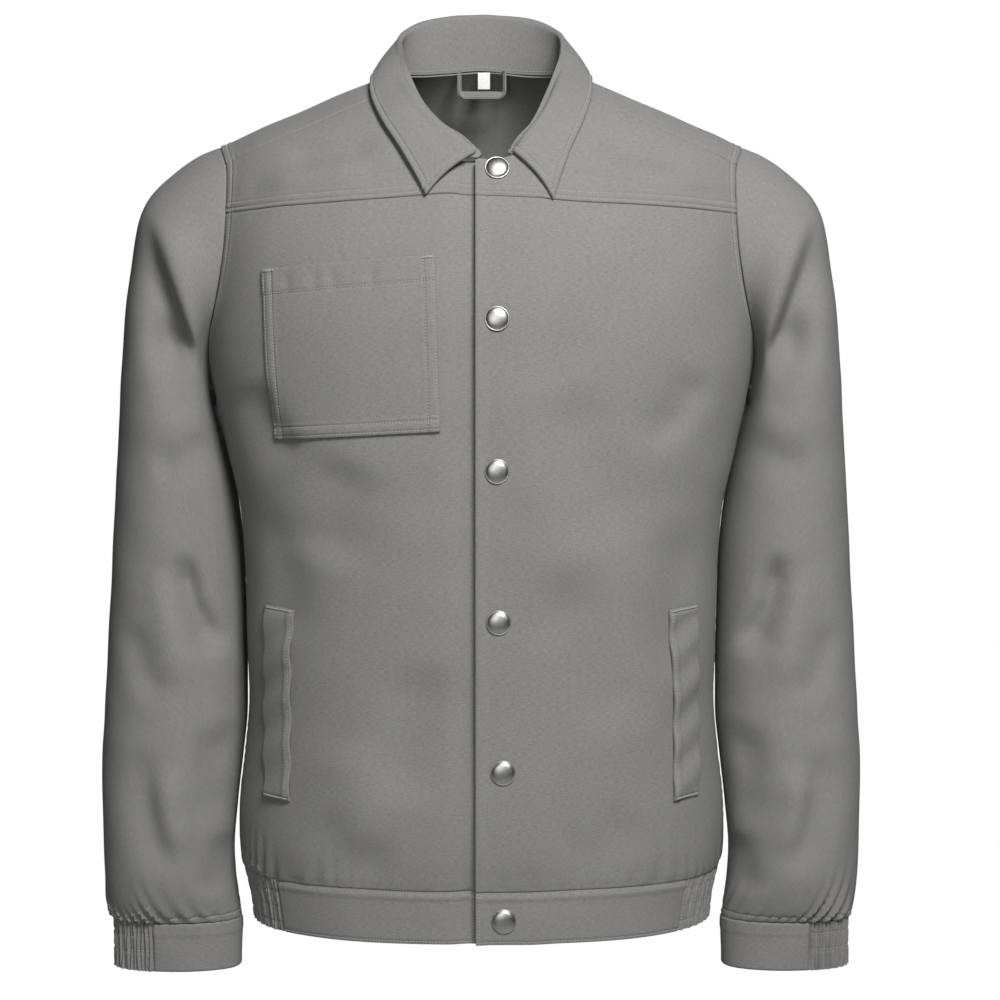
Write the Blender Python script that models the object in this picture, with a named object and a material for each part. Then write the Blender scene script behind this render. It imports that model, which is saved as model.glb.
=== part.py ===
"""Work jacket, men's size M, hollow and filled out as if it were worn.

Units are metres and +Z is up. The chest faces -Y and the wearer's right side is at -X.
The origin is where the wearer's shoulders carry the jacket: mid-width and mid-depth,
level with the place where the shoulder line meets the neck.

The body is one smooth hollow form: level rings up to the chest, and arches over the
shoulders above it. Each cut piece is a stretch of that form, made as a closed wall.
A place on the form is an angle round the body (0 at the centre, a quarter turn at the
side seam) and a lift (below zero under the chest level, up to a quarter turn at the ridge
of the shoulder, and on past it to the other face).
"""

import math
from collections import namedtuple

import bmesh
import bpy
from mathutils import Vector
from mathutils.bvhtree import BVHTree

# ---------------------------------------------------------------- cloth and seams
CLOTH = 0.0013             # wall of one cut piece
COLLAR_CLOTH = 0.0020      # two plies and a stiffener
SEAM = 0.0003              # gap between pieces joined at a seam
LYING_GAP = 0.0009         # gap under the middle of what lies on a panel

# ---------------------------------------------------------------- body form
FRONT, BACK = -1, 1        # the two faces, along Y
RIGHT, LEFT = -1, 1        # the wearer's sides, along X
QUARTER = math.pi / 2

ROUNDNESS = 2.35           # exponent of the level rings
CHEST = -0.200             # highest level ring
LIFT_METRES = 0.150        # height below the chest that counts as one radian of lift
RIDGE_PEAK = 0.0437        # where the shoulders' straight slopes would meet
SHOULDER_SLOPE = 0.444     # fall of the ridge for each metre outwards
RIDGE_ROUNDING = 0.030     # how far out the ridge is rounded off at the neck
SHOULDER_WIDTH = 0.207     # middle of the neck to the sleeve seam
ARCH_BACK = 2.4            # exponent of the arch over the back
ARCH_FRONT = 1.75          # exponent of the arch over the front, at the centre
ARCH_FRONT_GAIN = 0.65     # and what it gains towards the sleeve seam

UNDERARM = -0.245
BAND_TOP = -0.620
HEM = -0.660

Ring = namedtuple("Ring", "height half_width front back")
BODY_RINGS = (
    Ring(CHEST, 0.2170, 0.1380, 0.1320),
    Ring(-0.222, 0.2153, 0.1380, 0.1320),
    Ring(UNDERARM, 0.2110, 0.1380, 0.1310),
    Ring(-0.290, 0.2015, 0.1370, 0.1300),
    Ring(-0.333, 0.1920, 0.1360, 0.1280),
    Ring(-0.383, 0.1880, 0.1340, 0.1260),
    Ring(-0.450, 0.1865, 0.1320, 0.1230),
    Ring(-0.490, 0.1855, 0.1310, 0.1220),
    Ring(-0.530, 0.1890, 0.1310, 0.1210),
    Ring(-0.565, 0.1930, 0.1310, 0.1210),
    Ring(-0.595, 0.1937, 0.1300, 0.1210),
    Ring(-0.612, 0.1920, 0.1275, 0.1190),
    Ring(BAND_TOP, 0.1895, 0.1260, 0.1170),
    Ring(-0.640, 0.1850, 0.1258, 0.1150),
    Ring(HEM, 0.1825, 0.1255, 0.1140),
)

# heights of the rows of a front or the back, from the underarm to the waistband
SIDE_HEIGHTS = (UNDERARM, -0.272, -0.300, -0.328, -0.360, -0.400, -0.440, -0.480,
                -0.515, -0.548, -0.575, -0.597, -0.611, BAND_TOP)
PANEL_COLUMNS = 12

# the largest drape folds of the body, as straight troughs (depth below 0 is a ridge);
# face tells which face of the body each one is on
Fold = namedtuple("Fold", "face top_x top_z end_x end_z half_width depth")
BODY_FOLDS = (
    Fold(FRONT, 0.062, -0.255, 0.105, -0.370, 0.034, 0.0040),
    Fold(FRONT, 0.064, -0.375, 0.118, -0.510, 0.032, 0.0035),
    Fold(FRONT, 0.022, -0.220, 0.128, -0.560, 0.036, -0.0035),
    Fold(FRONT, -0.100, -0.300, -0.130, -0.370, 0.034, 0.0035),
    Fold(FRONT, -0.045, -0.455, -0.062, -0.560, 0.032, 0.0035),
    Fold(FRONT, -0.176, -0.245, -0.158, -0.285, 0.018, 0.0040),
    Fold(BACK, -0.120, -0.250, -0.060, -0.420, 0.036, 0.0045),
    Fold(BACK, 0.118, -0.235, 0.050, -0.400, 0.038, 0.0045),
    Fold(BACK, 0.010, -0.400, 0.035, -0.590, 0.036, 0.0035),
    Fold(BACK, -0.100, -0.470, -0.125, -0.600, 0.030, 0.0030),
)

# ---------------------------------------------------------------- front edges and neck
LEFT_EDGE = -0.0045        # how far the left front laps past the middle, as X
RIGHT_EDGE = 0.0340        # and the right front under it
LAP = CLOTH + 0.0006       # how far out the left front lies over the right one
LAP_END = 0.038            # the lap is at its full height up to here
LAP_FLAT = 0.060           # and has gone from here on

NECK_HALF_WIDTH = 0.0757
NECK_FRONT = -0.106
NECK_BACK = 0.055
NECK_SQUARENESS = 0.90     # exponent of the neck oval: under 1 is fuller than an ellipse
SHOULDER_SEAM_TURN = math.radians(74)  # where the shoulder seam meets the neck oval

YOKE_SEAM_EDGE = -0.098    # height of the yoke seam at the front edge
YOKE_SEAM_ARM = 0.362      # and how far round the armhole it ends
SHOULDER_SEAM_ARM = 0.192  # the same for the shoulder seam

# armhole: where each step round it lies, 0 at the shoulder tip and 1 under the arm
FRONT_ARM_STEPS = (0, 0.1, SHOULDER_SEAM_ARM, 0.28, YOKE_SEAM_ARM, 0.45, 0.54, 0.63, 0.72,
                   0.81, 0.905, 1)
BACK_ARM_STEPS = (0, 0.1, 0.2, 0.3, 0.4, 0.5, 0.6, 0.7, 0.8, 0.9, 1)
BACK_HALF_STEPS = (0.05, 0.15, 0.25, 0.35, 0.45)   # more rows of the back, at its neck edge
Armhole = namedtuple("Armhole", "height across")
ARMHOLE = (
    Armhole(-0.0491, 0.2070),
    Armhole(-0.067, 0.1990),
    Armhole(-0.084, 0.1972),
    Armhole(-0.108, 0.1970),
    Armhole(-0.133, 0.1985),
    Armhole(-0.158, 0.2022),
    Armhole(-0.181, 0.2075),
    Armhole(-0.197, 0.2120),
    Armhole(-0.214, 0.2142),
    Armhole(-0.230, 0.2135),
    Armhole(UNDERARM, 0.2110),
)

# ---------------------------------------------------------------- sleeves
# inner is the side next to the body, outer the side away from it; a section is the slanted
# oval between those two places. The first one is the armhole and the last the cuff seam.
Section = namedtuple("Section", "number inner_x inner_z outer_x outer_z mid_y half_depth")
SLEEVE_SECTIONS = (
    Section(0, 0.2110, UNDERARM, 0.2070, -0.0491, 0.000, 0.0615),
    Section(1, 0.2120, -0.2490, 0.2250, -0.0570, 0.000, 0.0640),
    Section(2, 0.2128, -0.2530, 0.2440, -0.0705, 0.000, 0.0665),
    Section(3, 0.2130, -0.2575, 0.2640, -0.0910, 0.000, 0.0690),
    Section(4, 0.2125, -0.2630, 0.2745, -0.1200, 0.000, 0.0705),
    Section(5, 0.2110, -0.2700, 0.2805, -0.1600, 0.001, 0.0710),
    Section(6, 0.2085, -0.2800, 0.2840, -0.2000, 0.002, 0.0700),
    Section(7, 0.2050, -0.2940, 0.2870, -0.2430, 0.003, 0.0690),
    Section(8, 0.2010, -0.3120, 0.2895, -0.2850, 0.004, 0.0675),
    Section(9, 0.1970, -0.3370, 0.2920, -0.3250, 0.004, 0.0660),
    Section(10, 0.1942, -0.3640, 0.2940, -0.3600, 0.003, 0.0645),
    Section(11, 0.1920, -0.3950, 0.2955, -0.3950, 0.002, 0.0635),
    Section(12, 0.1905, -0.4300, 0.2975, -0.4300, 0.000, 0.0625),
    Section(13, 0.1895, -0.4650, 0.2990, -0.4650, -0.003, 0.0615),
    Section(14, 0.1890, -0.5000, 0.3005, -0.5000, -0.006, 0.0605),
    Section(15, 0.1925, -0.5350, 0.3020, -0.5350, -0.010, 0.0595),
    Section(16, 0.1960, -0.5700, 0.3010, -0.5700, -0.015, 0.0575),
    Section(17, 0.1990, -0.6000, 0.3000, -0.6000, -0.019, 0.0545),
    Section(18, 0.1958, -0.6250, 0.2985, -0.6250, -0.022, 0.0500),
    Section(19, 0.1930, -0.6450, 0.2960, -0.6450, -0.025, 0.0420),
    Section(20, 0.1905, -0.6585, 0.2915, -0.6585, -0.027, 0.0330),
)
SLEEVE_ROUNDNESS = 2.2     # exponent of the sections away from the armhole
ARMHOLE_FADE = 3.0         # sections over which the armhole's own curve dies out

# the sleeves' largest folds, in the mirrored left sleeve's own X
SLEEVE_FOLDS = (
    Fold(FRONT, 0.262, -0.100, 0.224, -0.236, 0.016, 0.0090),
    Fold(FRONT, 0.250, -0.180, 0.216, -0.268, 0.014, 0.0060),
    Fold(FRONT, 0.232, -0.372, 0.208, -0.452, 0.018, 0.0060),
    Fold(FRONT, 0.206, -0.500, 0.214, -0.590, 0.016, 0.0045),
    Fold(FRONT, 0.270, -0.520, 0.252, -0.630, 0.018, 0.0035),
    Fold(BACK, 0.258, -0.115, 0.222, -0.240, 0.018, 0.0080),
    Fold(BACK, 0.282, -0.350, 0.222, -0.405, 0.016, 0.0060),
    Fold(BACK, 0.276, -0.470, 0.226, -0.505, 0.018, 0.0045),
)

# ---------------------------------------------------------------- cuffs and waistband
CUFF_BOTTOM = -0.697
CUFF_MID_X = 0.2410
CUFF_MID_Y = (-0.0270, -0.0260)      # at its seam and at its edge
CUFF_HALF_WIDTH = 0.0505
CUFF_HALF_DEPTH = (0.0330, 0.0310)
CUFF_ELASTIC = (math.radians(16), math.radians(164))   # turns from the front, outwards
CUFF_GATHERS = 36
WAIST_ELASTIC = (math.radians(54), math.radians(118))  # turns from the front centre
WAIST_GATHERS = 24
GATHER_HEIGHT = 0.0015     # how far a gather stands out of the wall
ELASTIC_SET_BACK = 0.0012  # the elastic pieces lie this far inside the plain ones

# ---------------------------------------------------------------- collar
# Half of the collar, from its front end to the centre back. neck_turn is the place on the
# neck oval in degrees; roll is the fold's top line, and edge the free edge's place on the
# body form. The closed fronts carry the collar's ends to the wearer's left by each shift.
CollarPost = namedtuple("CollarPost", "neck_turn roll_x roll_y roll_z edge_x edge_y shift")
COLLAR_POSTS = (
    CollarPost(8, 0.0120, -0.1030, -0.0630, 0.0475, -0.1160, 0.0095),
    CollarPost(15, 0.0220, -0.0930, -0.0510, 0.0545, -0.1080, 0.0070),
    CollarPost(27, 0.0360, -0.0790, -0.0380, 0.0640, -0.0960, 0.0040),
    CollarPost(42, 0.0480, -0.0600, -0.0200, 0.0760, -0.0780, 0.0012),
    CollarPost(62, 0.0575, -0.0380, 0.0030, 0.0840, -0.0550, 0.0),
    CollarPost(84, 0.0630, -0.0130, 0.0230, 0.0860, -0.0250, 0.0),
    CollarPost(104, 0.0650, 0.0110, 0.0370, 0.0855, 0.0060, 0.0),
    CollarPost(122, 0.0615, 0.0310, 0.0475, 0.0800, 0.0300, 0.0),
    CollarPost(141, 0.0470, 0.0460, 0.0570, 0.0630, 0.0495, 0.0),
    CollarPost(160, 0.0250, 0.0535, 0.0625, 0.0360, 0.0645, 0.0),
    CollarPost(180, 0.0000, 0.0560, 0.0640, 0.0000, 0.0710, 0.0),
)
EDGE_SHIFT_SHARE = 0.65    # the free edge is carried less far than the fold
ROLL_RADIUS = 0.0026       # of the collar's fold, to the middle of its cloth
FALL_BELLY = 0.0030        # how far the fall bows out between its fold and its edge
COLLAR_LIFT = 0.0028       # middle of the collar's cloth above the body, at its edge
COLLAR_SEAM = 0.0016       # gap between the collar's cloth and the neck edge

# ---------------------------------------------------------------- pockets, snaps, trim
Corner = namedtuple("Corner", "x z")
CHEST_POCKET = (Corner(-0.1650, -0.1510), Corner(-0.0346, -0.1417),
                Corner(-0.0305, -0.2730), Corner(-0.1596, -0.2800))
POCKET_HEM = 0.15          # share of the pocket's height that is folded double
POCKET_HEM_RISE = 0.0006
RIGHT_WELT = (Corner(-0.1670, -0.4070), Corner(-0.1445, -0.4100),
              Corner(-0.1460, -0.5560), Corner(-0.1670, -0.5545))
POCKET_CLOTH = 0.0012
WELT_CLOTH = 0.0018

SNAP_X = (0.0117, 0.0115, 0.0115, 0.0127, 0.0160, 0.0166)
SNAP_TOP = -0.0765
SNAP_PITCH = 0.1130
CapRing = namedtuple("CapRing", "radius height")
SNAP_CAP = (CapRing(0.0040, 0.0031), CapRing(0.0074, 0.0023), CapRing(0.0088, 0.0015),
            CapRing(0.0094, 0.0009), CapRing(0.0090, 0.0002))
SNAP_CAP_TOP = 0.0034
SNAP_BACK = (CapRing(0.0045, 0.0018), CapRing(0.0065, 0.0010), CapRing(0.0065, 0.0))
SNAP_BACK_TOP = 0.0018
SNAP_SIDES = 14
SNAP_GAP = 0.0005           # under a snap, whose flat base bridges the curved cloth

LOOP_HALF_WIDTH = 0.0175   # to the middle of its band
LOOP_TOP = 0.0184
LOOP_BOTTOM = -0.0012
LOOP_CORNER = 0.0040
LOOP_BAND = 0.0060
LOOP_Y = 0.0491             # of its face towards the front
LOOP_CLOTH = 0.0012
LABEL_X = (-0.0028, 0.0070)
LABEL_Y = 0.0525
LABEL_Z = (0.0040, 0.0175)
LABEL_CLOTH = 0.0008

# ---------------------------------------------------------------- materials
Finish = namedtuple("Finish", "colour roughness metallic")
CLOTH_GREY = Finish((0.240, 0.236, 0.230), 0.92, 0.0)
SNAP_METAL = Finish((0.620, 0.615, 0.600), 0.30, 1.0)
LABEL_WHITE = Finish((0.800, 0.800, 0.790), 0.85, 0.0)


# ================================================================ form of the body
def smooth_row(table, place):
    """A table's other columns at a place in its first one, on a smooth curve through it."""
    rows = sorted(table)
    place = min(max(place, rows[0][0]), rows[-1][0])
    upper = next(i for i in range(1, len(rows)) if rows[i][0] >= place)
    lower = upper - 1
    span = rows[upper][0] - rows[lower][0]
    part = (place - rows[lower][0]) / span

    def slopes(index):
        before, after = rows[max(index - 1, 0)], rows[min(index + 1, len(rows) - 1)]
        reach = span / (after[0] - before[0])
        return [(end - start) * reach for start, end in zip(before[1:], after[1:])]

    square, cube = part ** 2, part ** 3
    return [
        low * (2 * cube - 3 * square + 1) + low_slope * (cube - 2 * square + part)
        + high * (3 * square - 2 * cube) + high_slope * (cube - square)
        for low, high, low_slope, high_slope
        in zip(rows[lower][1:], rows[upper][1:], slopes(lower), slopes(upper))
    ]


def ease(start, end, value):
    """0 before start and 1 after end, with a smooth rise between them."""
    share = min(max((value - start) / (end - start), 0.0), 1.0)
    return share * share * (3 - 2 * share)


def signed_power(value, exponent):
    return math.copysign(abs(value) ** exponent, value)


def ridge_height(across):
    return RIDGE_PEAK - SHOULDER_SLOPE * math.hypot(across, RIDGE_ROUNDING)


def arch_exponent(across, face):
    if face == BACK:
        return ARCH_BACK
    return ARCH_FRONT + ARCH_FRONT_GAIN * (abs(across) / SHOULDER_WIDTH) ** 2


def angle_at(across, height):
    """Angle round the body at a place given by its X, seen from the front."""
    half_width = smooth_row(BODY_RINGS, min(height, CHEST))[0]
    share = min(abs(across) / half_width, 1.0)
    return math.copysign(math.asin(share ** (ROUNDNESS / 2)), across)


def lift_at(across, height, face):
    if height <= CHEST:
        return (height - CHEST) / LIFT_METRES
    rise = min((height - CHEST) / (ridge_height(across) - CHEST), 1.0)
    return math.asin(rise ** (arch_exponent(across, face) / 2))


def fullness(x, y, z):
    """1 on the body form, less inside it and more outside it."""
    half_width, front, back = smooth_row(BODY_RINGS, min(z, CHEST))
    depth = front if y < 0 else back
    if z <= CHEST:
        return (abs(x) / half_width) ** ROUNDNESS + (abs(y) / depth) ** ROUNDNESS
    edge = max(1 - (abs(x) / half_width) ** ROUNDNESS, 1e-6) ** (1 / ROUNDNESS)
    exponent = arch_exponent(x, FRONT if y < 0 else BACK)
    rise = (z - CHEST) / (ridge_height(x) - CHEST)
    return (abs(y) / (depth * edge)) ** exponent + rise ** exponent


def outward(point):
    """Direction straight out of the body form."""
    step = 0.0002
    x, y, z = point
    return Vector((
        fullness(x + step, y, z) - fullness(x - step, y, z),
        fullness(x, y + step, z) - fullness(x, y - step, z),
        fullness(x, y, z + step) - fullness(x, y, z - step),
    )).normalized()


def gap_to_body(point):
    """Rough distance of a near place from the body form."""
    step = 0.0005
    normal = outward(point)
    here = fullness(*point)
    slope = (fullness(*(point + normal * step)) - here) / step
    return (here - 1) / slope


def lap_height(x):
    """How far the left front stands out at a place near the closure."""
    return LAP * (1 - ease(LAP_END, LAP_FLAT, x))


def fold_depth(folds, face, x, z):
    """How far the folds sink a place into the cloth."""
    depth = 0.0
    for fold in folds:
        if fold.face != face:
            continue
        run_x, run_z = fold.end_x - fold.top_x, fold.end_z - fold.top_z
        length = math.hypot(run_x, run_z)
        along = ((x - fold.top_x) * run_x + (z - fold.top_z) * run_z) / length ** 2
        aside = ((x - fold.top_x) * run_z - (z - fold.top_z) * run_x) / length
        past_end = max(abs(along - 0.5) - 0.5, 0.0) * length
        depth += fold.depth * math.exp(-(aside ** 2 + past_end ** 2) / fold.half_width ** 2)
    return depth


def body_at(angle, lift, face):
    """A place on the body's outer surface, and the direction out of it."""
    if lift > QUARTER:
        face, lift = -face, 2 * QUARTER - lift
    half_width, front, back = smooth_row(BODY_RINGS, CHEST + min(lift, 0) * LIFT_METRES)
    x = half_width * signed_power(math.sin(angle), 2 / ROUNDNESS)
    depth = (front if face == FRONT else back) * max(math.cos(angle), 0) ** (2 / ROUNDNESS)
    if lift <= 0:
        point = Vector((x, face * depth, CHEST + lift * LIFT_METRES))
    else:
        exponent = 2 / arch_exponent(x, face)
        point = Vector((
            x,
            face * depth * max(math.cos(lift), 0) ** exponent,
            CHEST + (ridge_height(x) - CHEST) * math.sin(lift) ** exponent,
        ))
    normal = outward(point)
    sink = fold_depth(BODY_FOLDS, face, point.x, point.z)
    return point - normal * sink, normal


def front_at(x, z):
    """The same for a place on the front given by its X and height."""
    return body_at(angle_at(x, z), lift_at(x, z, FRONT), FRONT)


# ================================================================ seam lines
def neck_place(turn):
    """Angle and lift of a place on the neck oval; turn is 0 at the front, pi at the back."""
    x = NECK_HALF_WIDTH * signed_power(math.sin(turn), NECK_SQUARENESS)
    middle, reach = (NECK_FRONT + NECK_BACK) / 2, (NECK_BACK - NECK_FRONT) / 2
    y = middle - reach * signed_power(math.cos(turn), NECK_SQUARENESS)
    face = FRONT if y < 0 else BACK
    angle = angle_at(x, CHEST)
    half_width, front, back = smooth_row(BODY_RINGS, CHEST)
    depth = (front if face == FRONT else back) * math.cos(angle) ** (2 / ROUNDNESS)
    exponent = arch_exponent(x, face)
    rise = (1 - (abs(y) / depth) ** exponent) ** (1 / exponent)
    lift = math.asin(rise ** (exponent / 2))
    return angle, lift, face


def neck_at(turn):
    return body_at(*neck_place(turn))


def armhole_corner(step, face):
    height_mid = (ARMHOLE[0].height + UNDERARM) / 2
    height = height_mid + (ARMHOLE[0].height - height_mid) * math.cos(math.pi * step)
    across = smooth_row(ARMHOLE, height)[0]
    return across, height


def armhole_at(step, face):
    """A place on the left armhole: on the straight runs between its steps."""
    steps = FRONT_ARM_STEPS if face == FRONT else BACK_ARM_STEPS
    upper = next(i for i in range(1, len(steps)) if steps[i] >= step - 1e-9)
    share = (step - steps[upper - 1]) / (steps[upper] - steps[upper - 1])
    ends = []
    for corner in (steps[upper - 1], steps[upper]):
        across, height = armhole_corner(corner, face)
        ends.append(body_at(angle_at(across, height), lift_at(across, height, face), face))
    point = ends[0][0].lerp(ends[1][0], share)
    normal = ends[0][1].lerp(ends[1][1], share).normalized()
    return point, normal


def armhole_place(step, face):
    across, height = armhole_corner(step, face)
    return angle_at(across, height), lift_at(across, height, face)


# ================================================================ making solids
def clear_scene():
    for thing in list(bpy.data.objects):
        bpy.data.objects.remove(thing, do_unlink=True)


def material(name, finish):
    found = bpy.data.materials.get(name) or bpy.data.materials.new(name)
    found.use_nodes = True
    shader = found.node_tree.nodes["Principled BSDF"]
    shader.inputs["Base Color"].default_value = (*finish.colour, 1.0)
    shader.inputs["Roughness"].default_value = finish.roughness
    shader.inputs["Metallic"].default_value = finish.metallic
    found.diffuse_color = (*finish.colour, 1.0)
    return found


def add_solid(name, points, faces, finish_name="jacket_cloth", finish=CLOTH_GREY):
    """One closed solid from its points and faces, facing outwards."""
    mesh = bpy.data.meshes.new(name)
    solid = bmesh.new()
    corners = [solid.verts.new(point) for point in points]
    for face in faces:
        solid.faces.new([corners[index] for index in face])
    bmesh.ops.recalc_face_normals(solid, faces=solid.faces)
    bmesh.ops.triangulate(solid, faces=solid.faces)
    solid.to_mesh(mesh)
    solid.free()
    mesh.shade_smooth()
    mesh.set_sharp_from_angle(angle=math.radians(50))
    mesh.materials.append(material(finish_name, finish))
    thing = bpy.data.objects.new(name, mesh)
    bpy.context.scene.collection.objects.link(thing)
    return thing


def trimmed(grid, gap=SEAM / 2, sides="inner outer first last"):
    """A grid of (point, normal) whose border is drawn in by half a seam's gap."""
    rows = [[(point.copy(), normal) for point, normal in row] for row in grid]

    def draw_in(place, neighbour):
        place[0][:] = place[0] + (neighbour[0] - place[0]).normalized() * gap

    for row in rows:
        if "inner" in sides:
            draw_in(row[0], row[1])
        if "outer" in sides:
            draw_in(row[-1], row[-2])
    for column in range(len(rows[0])):
        if "first" in sides:
            draw_in(rows[0][column], rows[1][column])
        if "last" in sides:
            draw_in(rows[-1][column], rows[-2][column])
    return rows


def wall(name, grid, cloth=CLOTH, ring=False, raised=None, **finish):
    """A closed wall of cloth under a grid of (point, normal); a ring's rows are closed."""
    rows, columns = len(grid), len(grid[0])
    outer, inner = [], []
    for row_number, row in enumerate(grid):
        for column_number, (point, normal) in enumerate(row):
            height = raised(row_number, column_number) if raised else 0.0
            outer.append(point + normal * height)
            inner.append(point - normal * cloth)
    count = rows * columns
    faces = []
    spans = columns if ring else columns - 1
    for row in range(rows - 1):
        for column in range(spans):
            near, far = row * columns + column, row * columns + (column + 1) % columns
            quad = (near, far, far + columns, near + columns)
            faces.append(quad)
            faces.append(tuple(index + count for index in reversed(quad)))

    def close(line, looped):
        pairs = list(zip(line, line[1:])) + ([(line[-1], line[0])] if looped else [])
        for start, end in pairs:
            faces.append((start, start + count, end + count, end))

    close(list(range(columns)), ring)
    close([(rows - 1) * columns + column for column in range(columns)][::-1], ring)
    if not ring:
        close([row * columns for row in range(rows)][::-1], False)
        close([row * columns + columns - 1 for row in range(rows)], False)
    return add_solid(name, outer + inner, faces, **finish)


def mirrored(grid, side):
    """The grid as drawn for the wearer's left, or its mirror for the right."""
    if side == LEFT:
        return grid
    flip = Vector((-1, 1, 1))
    return [[(point * flip, normal * flip) for point, normal in row] for row in grid]


def turned(name, profile, top, base, axis, **finish):
    """A small solid turned about an axis: rings from its closed top down to its flat base."""
    across = axis.orthogonal().normalized()
    upright = axis.cross(across)
    points = [base + axis * top]
    for ring in profile:
        for side in range(SNAP_SIDES):
            turn = 2 * math.pi * side / SNAP_SIDES
            reach = across * math.cos(turn) + upright * math.sin(turn)
            points.append(base + axis * ring.height + reach * ring.radius)
    last = 1 + (len(profile) - 1) * SNAP_SIDES
    faces = [tuple(range(last, last + SNAP_SIDES))[::-1]]
    for side in range(SNAP_SIDES):
        following = (side + 1) % SNAP_SIDES
        faces.append((0, 1 + side, 1 + following))
        for ring in range(len(profile) - 1):
            upper, lower = 1 + ring * SNAP_SIDES, 1 + (ring + 1) * SNAP_SIDES
            faces.append((upper + side, lower + side, lower + following, upper + following))
    return add_solid(name, points, faces, **finish)


# ================================================================ cut pieces of the body
def own_place(place, side):
    """body_at for the left side or, mirrored, for the right, with that side's own folds."""
    angle, lift, face = place
    point, normal = body_at(side * angle, lift, face)
    return point * Vector((side, 1, 1)), normal * Vector((side, 1, 1))


def half_panel(inner, outer, face, side):
    """A grid between two border lines of (angle, lift), in the left side's own X."""
    grid = []
    for (inner_angle, inner_lift), (outer_angle, outer_lift) in zip(inner, outer):
        row = []
        for column in range(PANEL_COLUMNS + 1):
            share = column / PANEL_COLUMNS
            place = (inner_angle + (outer_angle - inner_angle) * share,
                     inner_lift + (outer_lift - inner_lift) * share, face)
            row.append(own_place(place, side))
        grid.append(row)
    return grid


def lapped(grid, side):
    """The left front lies over the right one near the closure."""
    if side == RIGHT:
        return grid
    return [[(point + normal * lap_height(point.x), normal) for point, normal in row]
            for row in grid]


def edge_across(side):
    """X of a front's edge, in its own side's X."""
    return LEFT_EDGE if side == LEFT else -RIGHT_EDGE


def neck_end_turn(side):
    """Where a front's edge meets the neck oval."""
    across = edge_across(side)
    share = (abs(across) / NECK_HALF_WIDTH) ** (1 / NECK_SQUARENESS)
    return math.copysign(math.asin(share), across)


def armhole_border(steps, face):
    return [armhole_place(step, face) for step in steps]


def side_border(face, angle=QUARTER):
    return [(angle, lift_at(0, height, face)) for height in SIDE_HEIGHTS[1:]]


def on_armhole(grid, steps, face, side):
    """The rows that end at the armhole end exactly on its straight runs."""
    for row, step in zip(grid, steps):
        point, normal = armhole_at(step, face)
        row[-1] = (point, normal)
    return grid


def add_yoke(name, side):
    """The right one's top edge slopes off under the left one, past the middle of the neck."""
    rows_on_neck, rows_on_edge = 9, 2
    steps = rows_on_neck + rows_on_edge
    last_turn = neck_end_turn(side) if side == LEFT else 0.0
    inner = []
    for row in range(rows_on_neck + 1):
        turn = SHOULDER_SEAM_TURN + (last_turn - SHOULDER_SEAM_TURN) * row / rows_on_neck
        inner.append(neck_place(turn)[:2])
    across = edge_across(side)
    top = body_at(*neck_place(last_turn))[0].z
    for row in range(1, rows_on_edge + 1):
        height = top + (YOKE_SEAM_EDGE - top) * row / rows_on_edge
        inner.append((angle_at(across, height), lift_at(across, height, FRONT)))
    arm_steps = [SHOULDER_SEAM_ARM + (YOKE_SEAM_ARM - SHOULDER_SEAM_ARM) * row / steps
                 for row in range(steps + 1)]
    grid = half_panel(inner, armhole_border(arm_steps, FRONT), FRONT, side)
    on_armhole(grid, arm_steps, FRONT, side)
    return wall(name, mirrored(lapped(trimmed(grid), side), side))


def front_grid(side):
    arm_steps = [step for step in FRONT_ARM_STEPS if step >= YOKE_SEAM_ARM]
    across = edge_across(side)
    rows_on_arm = len(arm_steps) - 1
    heights = [YOKE_SEAM_EDGE + (UNDERARM - YOKE_SEAM_EDGE) * row / rows_on_arm
               for row in range(rows_on_arm + 1)] + list(SIDE_HEIGHTS[1:])
    inner = [(angle_at(across, height), lift_at(across, height, FRONT)) for height in heights]
    outer = armhole_border(arm_steps, FRONT) + side_border(FRONT)
    grid = half_panel(inner, outer, FRONT, side)
    on_armhole(grid, arm_steps, FRONT, side)
    return lapped(trimmed(grid), side)


def back_halves():
    """Both halves of the back, and the row at which the neck edge parts them.

    The back is one piece: it wraps over the shoulders to the forward shoulder seams. The
    inner border of a half runs up the centre line and on round the neck edge, and its outer
    border up the side, round the back of the armhole and over the shoulder tip.
    """
    neck_rows = 9
    arm_steps = sorted(BACK_ARM_STEPS + BACK_HALF_STEPS, reverse=True)
    over_steps = [step for step in FRONT_ARM_STEPS if 0 < step <= SHOULDER_SEAM_ARM]
    centre_rows = len(arm_steps) - 1 + len(over_steps) - neck_rows
    inner = [(0.0, lift_at(0, height, BACK)) for height in reversed(SIDE_HEIGHTS)]
    low, high = inner[-1][1], neck_place(math.pi)[1]
    inner += [(0.0, low + (high - low) * row / centre_rows)
              for row in range(1, centre_rows + 1)]
    for row in range(1, neck_rows + 1):
        turn = math.pi + (SHOULDER_SEAM_TURN - math.pi) * row / neck_rows
        angle, lift, face = neck_place(turn)
        inner.append((angle, lift if face == BACK else 2 * QUARTER - lift))
    outer = side_border(BACK)[::-1] + armhole_border(arm_steps, BACK)
    outer += [(angle, 2 * QUARTER - lift) for angle, lift in armhole_border(over_steps, FRONT)]
    halves = []
    for side in (RIGHT, LEFT):
        grid = half_panel(inner, outer, BACK, side)
        on_armhole(grid[len(SIDE_HEIGHTS) - 1:], arm_steps, BACK, side)
        on_armhole(grid[-len(over_steps):], over_steps, FRONT, side)
        halves.append(mirrored(grid, side))
    return halves, len(inner) - neck_rows - 1


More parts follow.
